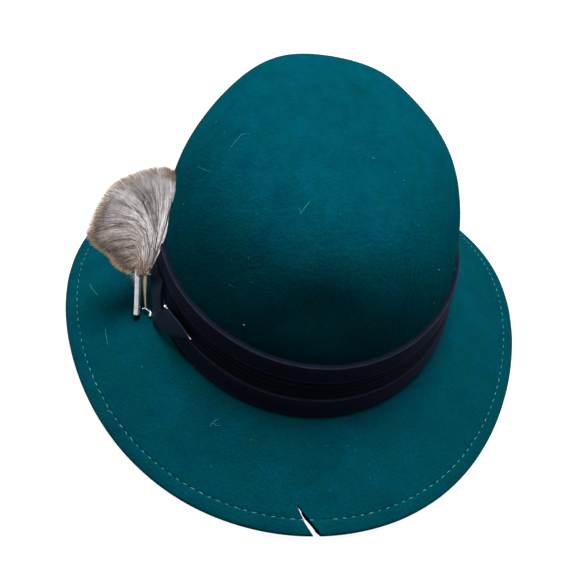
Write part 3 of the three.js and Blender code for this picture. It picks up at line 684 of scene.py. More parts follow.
def hair_tree():
    """Hairs that leave their root, bend over and taper to a tip, each with its own frizz"""
    tree, given, out = growth_tree("hairs", (
        ("Radius", "Float"), ("Steps", "Int"), ("Frizz", "Float"), ("Sides", "Int"), ("Material", "Material"),
    ))
    stick = made(tree, "GeometryNodeCurvePrimitiveLine")
    stick = made(tree, "GeometryNodeResampleCurve", {"Curve": stick, "Count": given["Steps"]})
    many = made(tree, "GeometryNodeInstanceOnPoints", {"Points": given["Geometry"], "Instance": stick})
    lines = made(tree, "GeometryNodeRealizeInstances", {"Geometry": many})
    t = made(tree, "GeometryNodeSplineParameter")
    left = maths(tree, "SUBTRACT", 1.0, t)
    shares = {"root": times(tree, left, left), "bend": times(tree, left, t, 2.0), "tip": times(tree, t, t)}
    place = None
    for name, part in shares.items():
        pull = vectors(tree, "SCALE", mark(tree, name, "FLOAT_VECTOR"), scale=part)
        place = pull if place is None else vectors(tree, "ADD", place, pull)
    own = vectors(tree, "SCALE", (17, 5, 9), scale=mark(tree, "tone", "FLOAT"))
    where = vectors(tree, "ADD", vectors(tree, "SCALE", place, scale=FRIZZ_WAVES), own)
    cloud = node(tree, "ShaderNodeTexNoise", {"Vector": where, "Scale": 1.0, "Detail": 1.0}).outputs["Color"]
    off = vectors(tree, "SUBTRACT", cloud, (0.5, 0.5, 0.5))
    off = vectors(tree, "SCALE", off, scale=times(tree, given["Frizz"], t))
    place = vectors(tree, "ADD", place, off)
    moved = made(tree, "GeometryNodeSetPosition", {"Geometry": lines, "Position": place})
    kept = made(tree, "GeometryNodeStoreNamedAttribute", {
        "Geometry": moved, "Name": "along", "Value": t,
    }, data_type="FLOAT", domain="POINT")
    taper = maths(tree, "SUBTRACT", 1.0, times(tree, maths(tree, "POWER", t, 3.0), 0.8))
    thick = times(tree, taper, given["Radius"], mark(tree, "girth", "FLOAT"))
    finish_tree(tree, thread_along(tree, kept, thick, given["Sides"]), given["Material"], out)
    return tree


def nap_tree():
    """Short bent fibres scattered over the felt"""
    tree, given, out = growth_tree("nap", (
        ("Density", "Float"), ("Fibre", "Float"), ("Thick", "Float"), ("Seed", "Int"),
        ("Material", "Material"),
    ))
    spread = node(tree, "GeometryNodeDistributePointsOnFaces", {
        "Mesh": given["Geometry"], "Density": given["Density"], "Seed": given["Seed"],
    }).outputs
    cone = node(tree, "GeometryNodeMeshCone", {
        "Vertices": 3, "Side Segments": 1, "Fill Segments": 1,
        "Radius Top": 0.0, "Radius Bottom": 1.0, "Depth": 1.0,
    }).outputs["Mesh"]
    lean = drawn(tree, "FLOAT_VECTOR", [-v for v in NAP_LEAN], NAP_LEAN, given["Seed"])
    height = times(tree, given["Fibre"], drawn(tree, "FLOAT", *NAP_HEIGHT, given["Seed"]))
    size = made(tree, "ShaderNodeCombineXYZ", {0: given["Thick"], 1: given["Thick"], 2: height})
    placed = made(tree, "GeometryNodeInstanceOnPoints", {
        "Points": spread["Points"], "Instance": cone, "Rotation": spread["Rotation"], "Scale": size,
    })
    leaned = made(tree, "GeometryNodeRotateInstances", {"Instances": placed, "Rotation": lean})
    finish_tree(tree, leaned, given["Material"], out)
    return tree


def lint_tree():
    """Fibres that lie loose on the felt: bent threads, thinner at their ends"""
    tree, given, out = growth_tree("lint", (("Radius", "Float"), ("Steps", "Int"), ("Material", "Material")))
    line = made(tree, "GeometryNodeMeshToCurve", {"Mesh": given["Geometry"]})
    soft = made(tree, "GeometryNodeCurveSplineType", {"Curve": line}, spline_type="CATMULL_ROM")
    fine = made(tree, "GeometryNodeResampleCurve", {"Curve": soft, "Count": given["Steps"]})
    t = made(tree, "GeometryNodeSplineParameter")
    middle = times(tree, t, maths(tree, "SUBTRACT", 1.0, t), 4.0)
    girth = times(tree, given["Radius"], mark(tree, "girth", "FLOAT"))
    thick = times(tree, maths(tree, "POWER", middle, 0.4), girth)
    finish_tree(tree, thread_along(tree, fine, thick, 5), given["Material"], out)
    return tree


# Materials


def new_material(name, **sockets):
    """Material with its constant sockets set. Returns it with its tree, its shader's inputs and its place."""
    material = bpy.data.materials.new(name)
    material.use_nodes = True
    tree = material.node_tree
    shader = tree.nodes["Principled BSDF"]
    for socket, value in sockets.items():
        shader.inputs[socket.replace("_", " ")].default_value = value
    where = node(tree, "ShaderNodeTexCoord").outputs["Object"]
    return material, tree, shader.inputs, where


def shaded(colour_value, factor):
    """Colour made paler or darker"""
    return tuple(min(1, factor * c) for c in colour_value)


def blended(tree, part, first, second, most=None):
    """Colour between two others, by a part that can be limited to a most"""
    if most is not None:
        part = times(tree, part, most)
    mix = node(tree, "ShaderNodeMix", data_type="RGBA")
    for socket, value in zip((mix.inputs[0], mix.inputs[6], mix.inputs[7]), (part, first, second)):
        if isinstance(value, bpy.types.NodeSocket):
            tree.links.new(value, socket)
        else:
            socket.default_value = (*value, 1.0)
    return mix.outputs[2]


def ranged(tree, value, low, high, to_low=0.0, to_high=1.0):
    """Value brought from one range to another"""
    return made(tree, "ShaderNodeMapRange", {
        "Value": value, "From Min": low, "From Max": high, "To Min": to_low, "To Max": to_high,
    })


def noise(tree, size, detail, where, rough=0.55):
    """Noise whose grains are about one size, in metres"""
    return node(tree, "ShaderNodeTexNoise", {
        "Vector": where, "Scale": 1 / size, "Detail": detail, "Roughness": rough,
    }).outputs["Fac"]


def waves(tree, where, pitch, distortion, direction):
    """Bands that are a pitch apart, in metres"""
    return node(tree, "ShaderNodeTexWave", {
        "Vector": where, "Scale": math.tau / WAVES_TURN / pitch, "Distortion": distortion, "Detail": 1.0,
    }, bands_direction=direction).outputs["Fac"]


def painted(tree, name):
    """Attribute of the mesh, in a material"""
    return node(tree, "ShaderNodeAttribute", attribute_name=name).outputs["Fac"]


def stretched(tree, where, scale, **others):
    """Place that is drawn out, so that grains get longer where its scale is under 1"""
    return made(tree, "ShaderNodeMapping", {"Vector": where, "Scale": scale, **others})


def upwards(tree, vector):
    """Height of a vector"""
    return node(tree, "ShaderNodeSeparateXYZ", {0: vector}).outputs[2]


def finished(material, tree, sockets, base, layers):
    """Sets a material's colour and its layers of relief, each a height and its depth in metres"""
    tree.links.new(base, sockets["Base Color"])
    normal = None
    for height, depth in layers:
        inputs = {"Height": height, "Distance": depth, "Strength": 1.0}
        if normal is not None:
            inputs["Normal"] = normal
        normal = made(tree, "ShaderNodeBump", inputs)
    tree.links.new(normal, sockets["Normal"])
    return material


def felt_material(form):
    """Wool felt: mottled nap with tangled fibres, a few pale ones, a soft sheen, paler high parts that are
    partly dust and partly painted light, and painted shade on the steep walls
    """
    material, tree, sockets, where = new_material(
        "felt", Roughness=1.0, Specular_IOR_Level=0.0, Sheen_Weight=0.22, Sheen_Roughness=0.5,
        Sheen_Tint=(0.0, 0.5, 0.62, 1),
    )
    clouds = ranged(tree, noise(tree, 22 * MM, 3, where), 0.4, 0.6)
    tangle = ranged(tree, noise(tree, 1.6 * MM, 5, where, 0.7), 0.3, 0.7)
    grain = ranged(tree, noise(tree, 0.45 * MM, 3, where, 0.7), 0.3, 0.7)
    faded = noise(tree, 14 * MM, 5, stretched(tree, where, (1, 0.8, 0.8), Location=(0.3, 0.1, 0)), 0.65)
    across = stretched(tree, where, (1, 6, 1), Rotation=(0.6, 0.4, 0.9))
    hairs = ranged(tree, noise(tree, 2.6 * MM, 4, across, 0.6), 0.66, 0.74)
    upward = upwards(tree, node(tree, "ShaderNodeNewGeometry").outputs["Normal"])
    high = ranged(tree, upwards(tree, where), *(part * form.crown_top for part in DUST_AND_TOP_LIGHT_HEIGHT))
    dust = noise(tree, 6 * MM, 5, stretched(tree, where, (1, 0.6, 1)), 0.7)
    dust_and_top_light = times(tree, ranged(tree, dust, 0.4, 0.62, 0.2, 1.0), ranged(tree, upward, 0.5, 0.72), high)
    darker_mottle_and_wall_shade = shaded(form.deep, 0.72)
    base = blended(tree, clouds, form.deep, form.colour)
    base = blended(tree, ranged(tree, faded, 0.42, 0.58), base, form.greener, 0.8)
    base = blended(tree, maths(tree, "SUBTRACT", 1.0, tangle), base, darker_mottle_and_wall_shade, 0.66)
    base = blended(tree, grain, base, tuple(c + 0.004 for c in shaded(form.colour, 1.6)), 0.42)
    base = blended(tree, hairs, base, srgb(50, 140, 150), 0.42)
    # Painted shade: the steep walls of the crown made darker, as if turned away from the light
    base = blended(tree, ranged(tree, upward, 0.62, 0.15, 0.0, 0.3), base, darker_mottle_and_wall_shade)
    # Painted light with dust specks: the upward-facing top of the crown made paler, as if lit from above
    base = blended(tree, dust_and_top_light, base, shaded(form.colour, 1.7), 0.27)
    swells = ranged(tree, noise(tree, 9 * MM, 2, where), 0.3, 0.7)
    relief = ((tangle, 0.3 * MM), (grain, 0.1 * MM), (swells, 0.25 * MM))
    return finished(material, tree, sockets, base, relief)


def ribbon_material(name, ribbon, colour_value, sheen, rough):
    """Ribbed ribbon: fine ribs across it, woven yarns between them, painted shade in the recessed pleats,
    pale fold edges that are painted highlight and rubbed wear, and dust
    """
    material, tree, sockets, where = new_material(
        name, Specular_IOR_Level=0.02, Sheen_Weight=sheen, Sheen_Roughness=0.4, Sheen_Tint=(0.3, 0.6, 0.9, 1),
    )
    place = made(tree, "ShaderNodeUVMap", uv_map="cloth")
    ribs = waves(tree, place, ribbon.rib, 0.4, "X")
    yarn = waves(tree, place, ribbon.yarn, 1.2, "Y")
    clouds = ranged(tree, noise(tree, 12 * MM, 3, where), 0.3, 0.7)
    dust = ranged(tree, noise(tree, 0.8 * MM, 4, where, 0.7), 0.62, 0.8)
    patchy = ranged(tree, noise(tree, 6 * MM, 3, where), 0.3, 0.7, 0.5, 1.0)
    base = blended(tree, clouds, shaded(colour_value, 0.72), colour_value)
    base = blended(tree, ribs, base, shaded(colour_value, 1.7), 0.15)
    # Painted shade: the recessed pleats made darker
    base = blended(tree, painted(tree, "pleat"), base, shaded(colour_value, 0.22), 0.95)
    # Painted highlights with rubbed wear: the fold edges made paler, broken up by a patchy noise
    base = blended(tree, times(tree, painted(tree, "rubbed"), patchy), base, ribbon.rubbed)
    base = blended(tree, dust, base, srgb(120, 122, 128), 0.08)
    tree.links.new(ranged(tree, clouds, 0, 1, rough - 0.08, rough + 0.08), sockets["Roughness"])
    swells = noise(tree, 5 * MM, 2, where)
    return finished(material, tree, sockets, base, ((ribs, 0.06 * MM), (yarn, 0.03 * MM), (swells, 0.3 * MM)))


def metal_material(name, colour_value, tarnish, rough):
    """Worn metal: bright where it is rubbed, with darker tarnish and scratches"""
    material, tree, sockets, where = new_material(name, Metallic=0.85)
    spots = ranged(tree, noise(tree, 2.2 * MM, 5, where, 0.65), 0.5, 0.8)
    lines = ranged(tree, noise(tree, 0.7 * MM, 4, stretched(tree, where, (1, 1, 0.15)), 0.6), 0.45, 0.75)
    base = blended(tree, spots, colour_value, tarnish)
    base = blended(tree, lines, base, shaded(colour_value, 0.5), 0.08)
    tree.links.new(ranged(tree, spots, 0, 1, rough, rough + 0.08), sockets["Roughness"])
    return finished(material, tree, sockets, base, ((lines, 0.001 * MM), (spots, 0.002 * MM)))


def hair_material(brush):
    """Hair: brown at its root, silver along its length, then dark and at last golden near its tip"""
    material, tree, sockets, where = new_material("hair", Roughness=0.5, Specular_IOR_Level=0.35)
    names = ("along", "tone", "rim", "girth", "warm")
    along, tone, rim, girth, warm = (painted(tree, name) for name in names)
    past = maths(tree, "DIVIDE", maths(tree, "SUBTRACT", 1.0, along), rim)
    patches = ranged(tree, noise(tree, 3 * MM, 3, where), 0.35, 0.65)
    pale = blended(tree, patches, shaded(brush.pale, 0.76), brush.pale)
    pale = blended(tree, warm, pale, srgb(164, 144, 124), 0.85)
    root = blended(tree, patches, srgb(66, 48, 36), srgb(132, 108, 84))
    base = blended(tree, ranged(tree, along, 0.06, 0.26), root, pale)
    base = blended(tree, ranged(tree, tone, 0.3, 0.9), base, brush.brown, 0.95)
    for where_past, for_girth, coloured in (
        ((2.2, 0.9), (0.7, 1.0), brush.brown),
        ((1.5, 1.0), (1.1, 0.9), brush.dark),
        ((0.7, 0.4), (0.85, 1.05), brush.gold),
    ):
        part = times(tree, ranged(tree, past, *where_past), ranged(tree, girth, *for_girth))
        base = blended(tree, part, base, coloured)
    return finished(material, tree, sockets, base, ((noise(tree, 0.3 * MM, 2, where), 0.02 * MM),))


def thread_material(name, colour_value):
    """Cotton thread: twisted fibres, a little uneven in colour"""
    material, tree, sockets, where = new_material(name, Roughness=0.85, Specular_IOR_Level=0.15)
    patchy = ranged(tree, noise(tree, 3 * MM, 3, where), 0.35, 0.7)
    base = blended(tree, patchy, colour_value, shaded(colour_value, 0.55))
    return finished(material, tree, sockets, base, ((noise(tree, 0.25 * MM, 3, where), 0.05 * MM),))


# Operators, one for each piece or group of like pieces


class HAT_OT_felt(bpy.types.Operator):
    """Makes the felt crown and brim with the hem, the stitched groove and the cut"""

    bl_idname = "hat.felt"
    bl_label = "Felt body"

    bearings = 416
    crown_rows = 70
    crown_turns = (88.6, 2.5)  # of the rows from the top down, in degrees
    wall_rows = (0.25, 0.5, 0.75)
    brim_start = 0.065  # share of the brim that the fillet takes
    insets = (9.4, 9.0, 8.6, 8.3, 8.0, 7.8, 7.6, 7.4, 7.2, 7.0, 6.8, 6.5, 6.1, 5.5, 4.7, 3.9, 3.1, 2.5, 1.9)
    waves = ((55 * MM, 1, 1), (21 * MM, 2, 0.5))  # of the unevenness: length, seed, height
    edge_fade = 50 * MM  # how far in from the edge the unevenness fades out
    groove_wide = 0.5 * MM
    hem_swell, hem_swell_wide = 0.3 * MM, 2.2 * MM
    hem_middle = 0.55  # as a share of the stitches' inset
    fray = 0.07 * MM
    cut_rows = 12
    cut_heights = (-4 * MM, 40 * MM)

    def outside(self, felt, bearing):
        """Rows of the outer face from the top to the edge, and how far each brim row lies from the edge"""
        turn = np.radians(np.linspace(*self.crown_turns, self.crown_rows))[:, None]
        rise = np.sin(turn) ** (2 / column("square", bearing))
        low = felt.rise_at(bearing, felt.fillet_top(bearing))
        wall = rise[-1] + (low - rise[-1]) * np.array(self.wall_rows)[:, None]
        hem = 1 - (np.array(self.insets)[:, None] * MM - felt.edge_radius) / felt.reach(bearing)
        plain = self.brim_start + (hem[0] - self.brim_start) * np.linspace(0, 1, 30)[:-1, None]
        part = np.vstack([plain, hem])
        fillet = felt.fillet(bearing, np.linspace(0, 1, 8)[:, None])
        rows = (felt.crown(bearing, rise), felt.crown(bearing, wall), fillet, felt.brim(bearing, part))
        outside = np.concatenate(rows)
        away = np.full(outside.shape[:2], 1.0)
        away[-len(part):] = (1 - part) * felt.reach(bearing) + felt.edge_radius
        return outside, away

    def relief(self, felt, stitch, bearing, outside, away):
        """How far the outer face is raised: soft unevenness, the stitches' groove and the full hem"""
        form = felt.form
        near = np.clip((outside[..., 2] - felt.foot(bearing)) / (4 * form.foot_fillet) - 0.6, 0, 1)
        near = np.maximum(near, np.clip(1 - away / self.edge_fade, 0, 1))
        soft = sum(high * ripple(outside, size, seed) for size, seed, high in self.waves)
        groove = np.exp(-((away - stitch.inset) / self.groove_wide) ** 2)
        swell = np.exp(-((away - self.hem_middle * stitch.inset) / self.hem_swell_wide) ** 2)
        return form.ripple * soft * near - form.groove * groove + self.hem_swell * swell

    def execute(self, context):
        scene = context.scene
        felt, form = Felt(scene.hat_form), scene.hat_form
        bearing = np.arange(self.bearings) * 360 / self.bearings
        outside, away = self.outside(felt, bearing)
        lift = self.relief(felt, scene.hat_stitch, bearing, outside, away)
        outside = outside + grid_faces(outside) * lift[..., None]
        faces = grid_faces(outside)
        hem = np.clip((form.hem_width + form.hem_step - away) / form.hem_step, 0, 1)
        wall = form.felt + (form.hem_thick - form.felt) * hem * hem * (3 - 2 * hem)
        inside = outside - faces * wall[..., None]
        edge, face = outside[-1], faces[-1]
        ahead = edge - outside[-2]
        ahead = unit(ahead - (ahead * face).sum(-1, keepdims=True) * face)
        middle = edge - face * felt.edge_radius
        turns = np.radians(np.linspace(0, 180, 10)[1:-1])
        roll = [middle + felt.edge_radius * (face * math.cos(t) + ahead * math.sin(t)) for t in turns]
        kept = np.r_[0:self.crown_rows:2, self.crown_rows:len(outside)][::-1]
        rings = np.concatenate([outside, roll, inside[kept]])
        rings[..., 2] = np.maximum(rings[..., 2], 0)
        top = felt.crown(np.array([0.0]), np.array([1.0]))[0]
        piece = loft("felt_hat", rings, poles=(top, top - np.array([0, 0, form.felt])))
        self.cut(piece, felt)
        dress(piece, felt_material(form), "felt", "felt_body")
        return {"FINISHED"}

    def cut(self, piece, felt):
        """Opens the cut at the front of the brim, with frayed edges"""
        form = felt.form
        bearing = np.array([math.degrees(form.cut_bearing)])
        out = felt.outward(bearing)[0]
        side = np.array([-out[1], out[0], 0])
        mouth = felt.brim(bearing, np.array([1.0]))[0] + out * felt.edge_radius
        draw = np.random.default_rng(5)
        left, right = [], []
        for inward, aside, wide in smooth_rows(CUT, 5):
            for edge, sign in ((left, -1), (right, 1)):
                fray = draw.normal(0, self.fray) * min(1, 2 * wide)
                off = aside * form.cut_depth + sign * wide * form.cut_mouth / 2 + fray
                edge.append(mouth - out * inward * form.cut_depth + side * off)
        levels = np.repeat(np.array([*left, *right[::-1]])[None], self.cut_rows, 0)
        levels[..., 2] = np.linspace(*self.cut_heights, self.cut_rows)[:, None]
        cutter = loft("cut_edge", levels)
        modifier = piece.modifiers.new("cut", "BOOLEAN")
        modifier.operation, modifier.solver, modifier.object = "DIFFERENCE", "MANIFOLD", cutter
        settled(piece)
        bpy.data.objects.remove(cutter)
        piece.data.set_sharp_from_angle(angle=math.radians(50))


class HAT_OT_nap(bpy.types.Operator):
    """Scatters short wool fibres over the felt"""

    bl_idname = "hat.nap"
    bl_label = "Felt nap"

    density = 140000.0  # fibres on each square metre
    fibre, thick = 0.8 * MM, 0.022 * MM

    def execute(self, context):
        piece = added("felt_nap", bpy.data.objects["felt_hat"].data.copy())
        material = thread_material("nap_fibre", srgb(36, 124, 134))
        grow(piece, nap_tree(), {
            "Density": self.density, "Fibre": self.fibre, "Thick": self.thick, "Seed": 3,
            "Material": material,
        })
        dress(piece, material, "felt")
        return {"FINISHED"}


class HAT_OT_stitches(bpy.types.Operator):
    """Sews the line of stitches round the brim, above and below"""

    bl_idname = "hat.stitches"
    bl_label = "Brim stitches"

    before_cut, after_cut = 1.4, 3.4  # degrees without stitches
    sunk_above, sunk_below = 0.22 * MM, 0.05 * MM

    def execute(self, context):
        scene = context.scene
        felt, stitch, form = Felt(scene.hat_form), scene.hat_stitch, scene.hat_form
        material = thread_material("stitch_thread", stitch.colour)
        cut = math.degrees(form.cut_bearing)
        bearing = np.linspace(cut + self.after_cut - 360, cut - self.before_cut, 700)
        part = 1 - (stitch.inset - felt.edge_radius) / felt.reach(bearing)
        top = felt.brim(bearing, part)
        along = np.gradient(top, axis=0)
        step = felt.brim(bearing, part + 0.01) - top
        face = unit(np.cross(step, along))
        face *= np.sign(face[:, 2:3])
        edges = [(k, k + 1) for k in range(len(bearing) - 1)]
        given = {"Pitch": stitch.pitch, "Run": stitch.run, "Thread": stitch.thick, "Seed": stitch.seed}
        below = form.hem_thick + self.sunk_below
        sides = (("stitches_above", self.sunk_above, 1), ("stitches_below", below, -1))
        for name, depth, turn in sides:
            line = points_piece(name, top - face * depth, {"face": face * turn}, edges)
            grow(line, stitch_tree(), {**given, "Material": material})
            dress(line, material, "felt")
        return {"FINISHED"}


class HAT_OT_lint(bpy.types.Operator):
    """Lays loose fibres on the crown and the brim"""

    bl_idname = "hat.lint"
    bl_label = "Lint"

    specks = 84
    speck_thick = (0.2, 0.5)  # as shares of a fibre of lint
    turns = (-0.9, 0.9)  # steps of a speck's line, in degrees and millimetres
    crown_step = 0.006  # share of the crown's height for each step
    crown_heights, brim_places = (0.42, 0.97), (9, 50)

    def execute(self, context):
        form = context.scene.hat_form
        felt, draw = Felt(form), np.random.default_rng(23)
        threads = [(row[0], self.on_crown(felt, row[1:])) for row in CROWN_LINT]
        threads += [(row[0], self.on_brim(felt, row[1:])) for row in BRIM_LINT]
        for k in range(self.specks):
            bearing = draw.uniform(0, 360)
            line = np.cumsum(draw.uniform(*self.turns, (3, 2)), 0)
            if k % 2:
                start, surface = draw.uniform(*self.crown_heights), self.on_crown
                line[1:] += line[0]
                line = line * (1, self.crown_step)
            else:
                start, surface = draw.uniform(*self.brim_places), self.on_brim
            threads.append((draw.uniform(*self.speck_thick), surface(felt, line + (bearing, start))))
        points, girth, edges = [], [], []
        for thick, line in threads:
            edges += [(len(points) + k, len(points) + k + 1) for k in range(len(line) - 1)]
            points += list(line)
            girth += [thick] * len(line)
        piece = points_piece("lint", points, {"girth": girth}, edges)
        material = thread_material("lint_fibre", srgb(72, 216, 220))
        grow(piece, lint_tree(), {"Radius": form.lint, "Steps": 9, "Material": material})
        dress(piece, material, "felt")
        return {"FINISHED"}

    def on_crown(self, felt, rows):
        bearing, rise = np.array(rows, float).T
        off = felt.outward(bearing) * (1 - rise[:, None] ** 4) + np.array([0, 0, 1.0]) * rise[:, None] ** 4
        return felt.crown(bearing, np.minimum(rise, 0.995)) + off * 2 * felt.form.lint

    def on_brim(self, felt, rows):
        bearing, out = np.array(rows, float).T
        return felt.on_brim(bearing, out * MM, 2 * felt.form.lint)


class HAT_OT_band(bpy.types.Operator):
    """Winds the pleated ribbon round the foot of the crown"""

    bl_idname = "hat.band"
    bl_label = "Ribbon band"

    bearings = 480
    pleats = (0.32, 0.65)  # shares of the height between which the folds wander
    drift = 0.03  # how far they wander, as a share of the height
    drifts = ((0.5, 2, 1), (0.3, 5, 2.1), (0.2, 9, 0.4))  # height, waves round the hat and start of each
    sway = 0.2 * MM
    unevenness, ripple_size = 0.03, 16 * MM
    pleat_edge = 0.012

    def execute(self, context):
        scene = context.scene
        felt, ribbon = Felt(scene.hat_form), scene.hat_ribbon
        bearing = np.arange(self.bearings) * 360 / self.bearings
        turn = np.radians(bearing)
        low = felt.fillet_top(bearing) + ribbon.gap
        part = np.linspace(0, 1, 8)[:, None]
        inner = felt.beside(bearing, low + part * (ribbon.height - low), ribbon.gap)
        shares = np.array(PLEATS)
        down = np.unique(np.linspace(shares[:-1, 0], shares[1:, 0], 5))[:, None]
        drift = sum(high * np.sin(count * turn + start) for high, count, start in self.drifts)
        middle = np.clip((down - self.pleats[0]) / (self.pleats[1] - self.pleats[0]), 0, 1)
        place = down + self.drift * drift * np.sin(np.pi * middle) ** 2
        thick = np.interp(place, *shares.T)
        height = ribbon.height * (1 - down) + self.sway * np.sin(7 * turn + 9 * down) * np.sin(np.pi * down)
        outer = felt.beside(bearing, height, ribbon.gap + ribbon.thick * thick)
        inset = ribbon.thick * self.unevenness * ripple(outer, self.ripple_size, 4)
        outer -= felt.outward(bearing) * np.abs(inset)[..., None]
        bottom = felt.on_brim(bearing, ribbon.gap + ribbon.thick * BAND_BOTTOM, ribbon.gap)
        rings = np.concatenate([inner, outer, bottom[None]])
        middle = felt.beside(bearing, ribbon.height / 2, ribbon.gap)
        step = np.linalg.norm(np.roll(middle, -1, 0) - middle, axis=-1)
        along = np.concatenate([[0], np.cumsum(step)])
        across = np.concatenate([[0], np.cumsum(np.linalg.norm(np.diff(rings[:, 0], axis=0), axis=-1))])
        chart = np.stack(np.broadcast_arrays(along[None, :], across[:, None]), -1)
        piece = loft("ribbon", rings, loop=True, chart=chart)
        # Painted highlights on the fold edges, which also stand for rubbed wear
        rubbed = np.max([pale * np.exp(-((place - at) / wide) ** 2) for at, pale, wide in RUBBED_AND_HIGHLIT], 0)
        # Painted shade for the recessed pleats, fading out at their edges
        deep = np.clip(np.minimum(place - PLEATED[0], PLEATED[1] - place) / self.pleat_edge, 0, 1)
        for label, values in (("rubbed", rubbed), ("pleat", deep)):
            every = np.zeros(rings.shape[:2], np.float32)
            every[len(inner):len(inner) + len(outer)] = values
            piece.data.attributes.new(label, "FLOAT", "POINT").data.foreach_set("value", every.ravel())
        material = ribbon_material("ribbon", ribbon, ribbon.colour, 0.04, 0.72)
        dress(piece, material, "ribbon", "ribbon_band")
        return {"FINISHED"}


class HAT_OT_ribbon_ends(bpy.types.Operator):
    """Lays the two loose ends of the ribbon against the band"""

    bl_idname = "hat.ribbon_ends"
    bl_label = "Ribbon ends"

    across = 10

    def execute(self, context):
        scene = context.scene
        felt, ribbon = Felt(scene.hat_form), scene.hat_ribbon
        material = ribbon_material("satin", ribbon, ribbon.satin, 0.12, 0.5)
        near = 2 * ribbon.gap + ribbon.thick
        for name, table, cad_node in (
            ("ribbon_end_top", UPPER_END, "ribbon_end_upper"),
            ("ribbon_end_turned", LOWER_END, "ribbon_end_lower"),
        ):
            sections = []
            for row in smooth_rows(table, 8):
                bearing, height, off = np.linspace(row[::2], row[1::2], self.across).T
                height, off = height * ribbon.height, near + off * ribbon.thick
                low = felt.beside(bearing, height, off)
                high = felt.beside(bearing, height, off + ribbon.end_thick)
                sections.append(np.concatenate([low, high[::-1]]))
            sections = np.array(sections)
            step = np.linalg.norm(np.diff(sections[:, self.across // 2], axis=0), axis=-1)
            along = np.concatenate([[0], np.cumsum(step)])
            wide = np.linalg.norm(sections[0, self.across - 1] - sections[0, 0])
            across = np.linspace(0, wide, self.across)
            across = np.concatenate([across, across[::-1], [0]])
            chart = np.stack(np.broadcast_arrays(along[:, None], across), -1)
            piece = loft(name, sections, chart=chart)
            piece.data.set_sharp_from_angle(angle=math.radians(60))
            dress(piece, material, "ribbon_satin", cad_node)
        return {"FINISHED"}


class Trim:
    """Places of the brush and its fittings"""

    def __init__(self, scene):
        self.felt, self.brush, self.ribbon = Felt(scene.hat_form), scene.hat_brush, scene.hat_ribbon
        brush = self.brush
        bearing = np.array([math.degrees(brush.bearing)])
        self.out = self.felt.outward(bearing)[0]
        self.back = np.array([self.out[1], -self.out[0], 0])
        self.rise = np.array([0, 0, math.cos(brush.tube_lean)]) + self.back * math.sin(brush.tube_lean)
        self.axis = unit(self.rise - self.out * math.tan(brush.tube_tilt))
        stand, clear = self.ribbon.thick + brush.tube_stand, brush.tube_radius + brush.tube_clear
        self.foot = self.felt.on_brim(bearing, stand, clear)[0] - self.back * brush.tube_fore
        self.knot = self.tube(0) - self.out * brush.knot_depth + self.axis * brush.knot_rise
        self.front = unit(np.cross(self.rise, self.out))
        if self.front @ self.back > 0:
            self.front = -self.front

    def tube(self, down):
        return self.foot + self.axis * (1 - down) * self.brush.tube_length

    def direction(self, turn, tilt):
        """Directions in the fan: turn is the angle from its rise towards the side, tilt to the front"""
        turn, tilt = np.radians(turn)[..., None], np.radians(tilt)[..., None]
        return unit(self.rise * np.cos(turn) + self.out * np.sin(turn) + self.front * np.tan(tilt))

    def stem(self, rows):
        """Places of the stem's rows, beside the tube"""
        toward = unit(-self.out + self.axis * (self.out @ self.axis))
        brush = self.brush
        side = brush.tube_radius + brush.stem_radius + self.ribbon.gap
        down, aside, fore = rows[:, :3].T[:, :, None]
        beside = toward * (side + aside * brush.tube_length)
        return self.tube(down) + beside - self.back * fore * brush.tube_length


def ring_round(centre, radius, across, deep, sides):
    """Ring of points round a centre, in the plane of two directions"""
    a = np.arange(sides)[:, None] * 2 * math.pi / sides
    return centre + radius * (np.cos(a) * across + np.sin(a) * deep)


def rod(name, points, radii, sides=20):
    """Round bar through a row of points, each with its own radius"""
    rings = []
    across = np.cross(points[1] - points[0], (0.3, 0.9, 0.2))
    for k, point in enumerate(points):
        ahead = unit(points[min(k + 1, len(points) - 1)] - points[max(k - 1, 0)])
        across = unit(across - (across @ ahead) * ahead)
        rings.append(ring_round(point, radii[k], across, np.cross(ahead, across), sides))
    return loft(name, rings)


def turned_piece(name, start, axis, profile, sides=40, loop=False):
    """Piece turned round an axis: its profile is radius and distance along the axis"""
    side = unit(np.cross(axis, (0.2, 0.9, 0.3)))
    deep = np.cross(axis, side)
    return loft(name, [ring_round(start + axis * y, r, side, deep, sides) for r, y in profile], loop=loop)


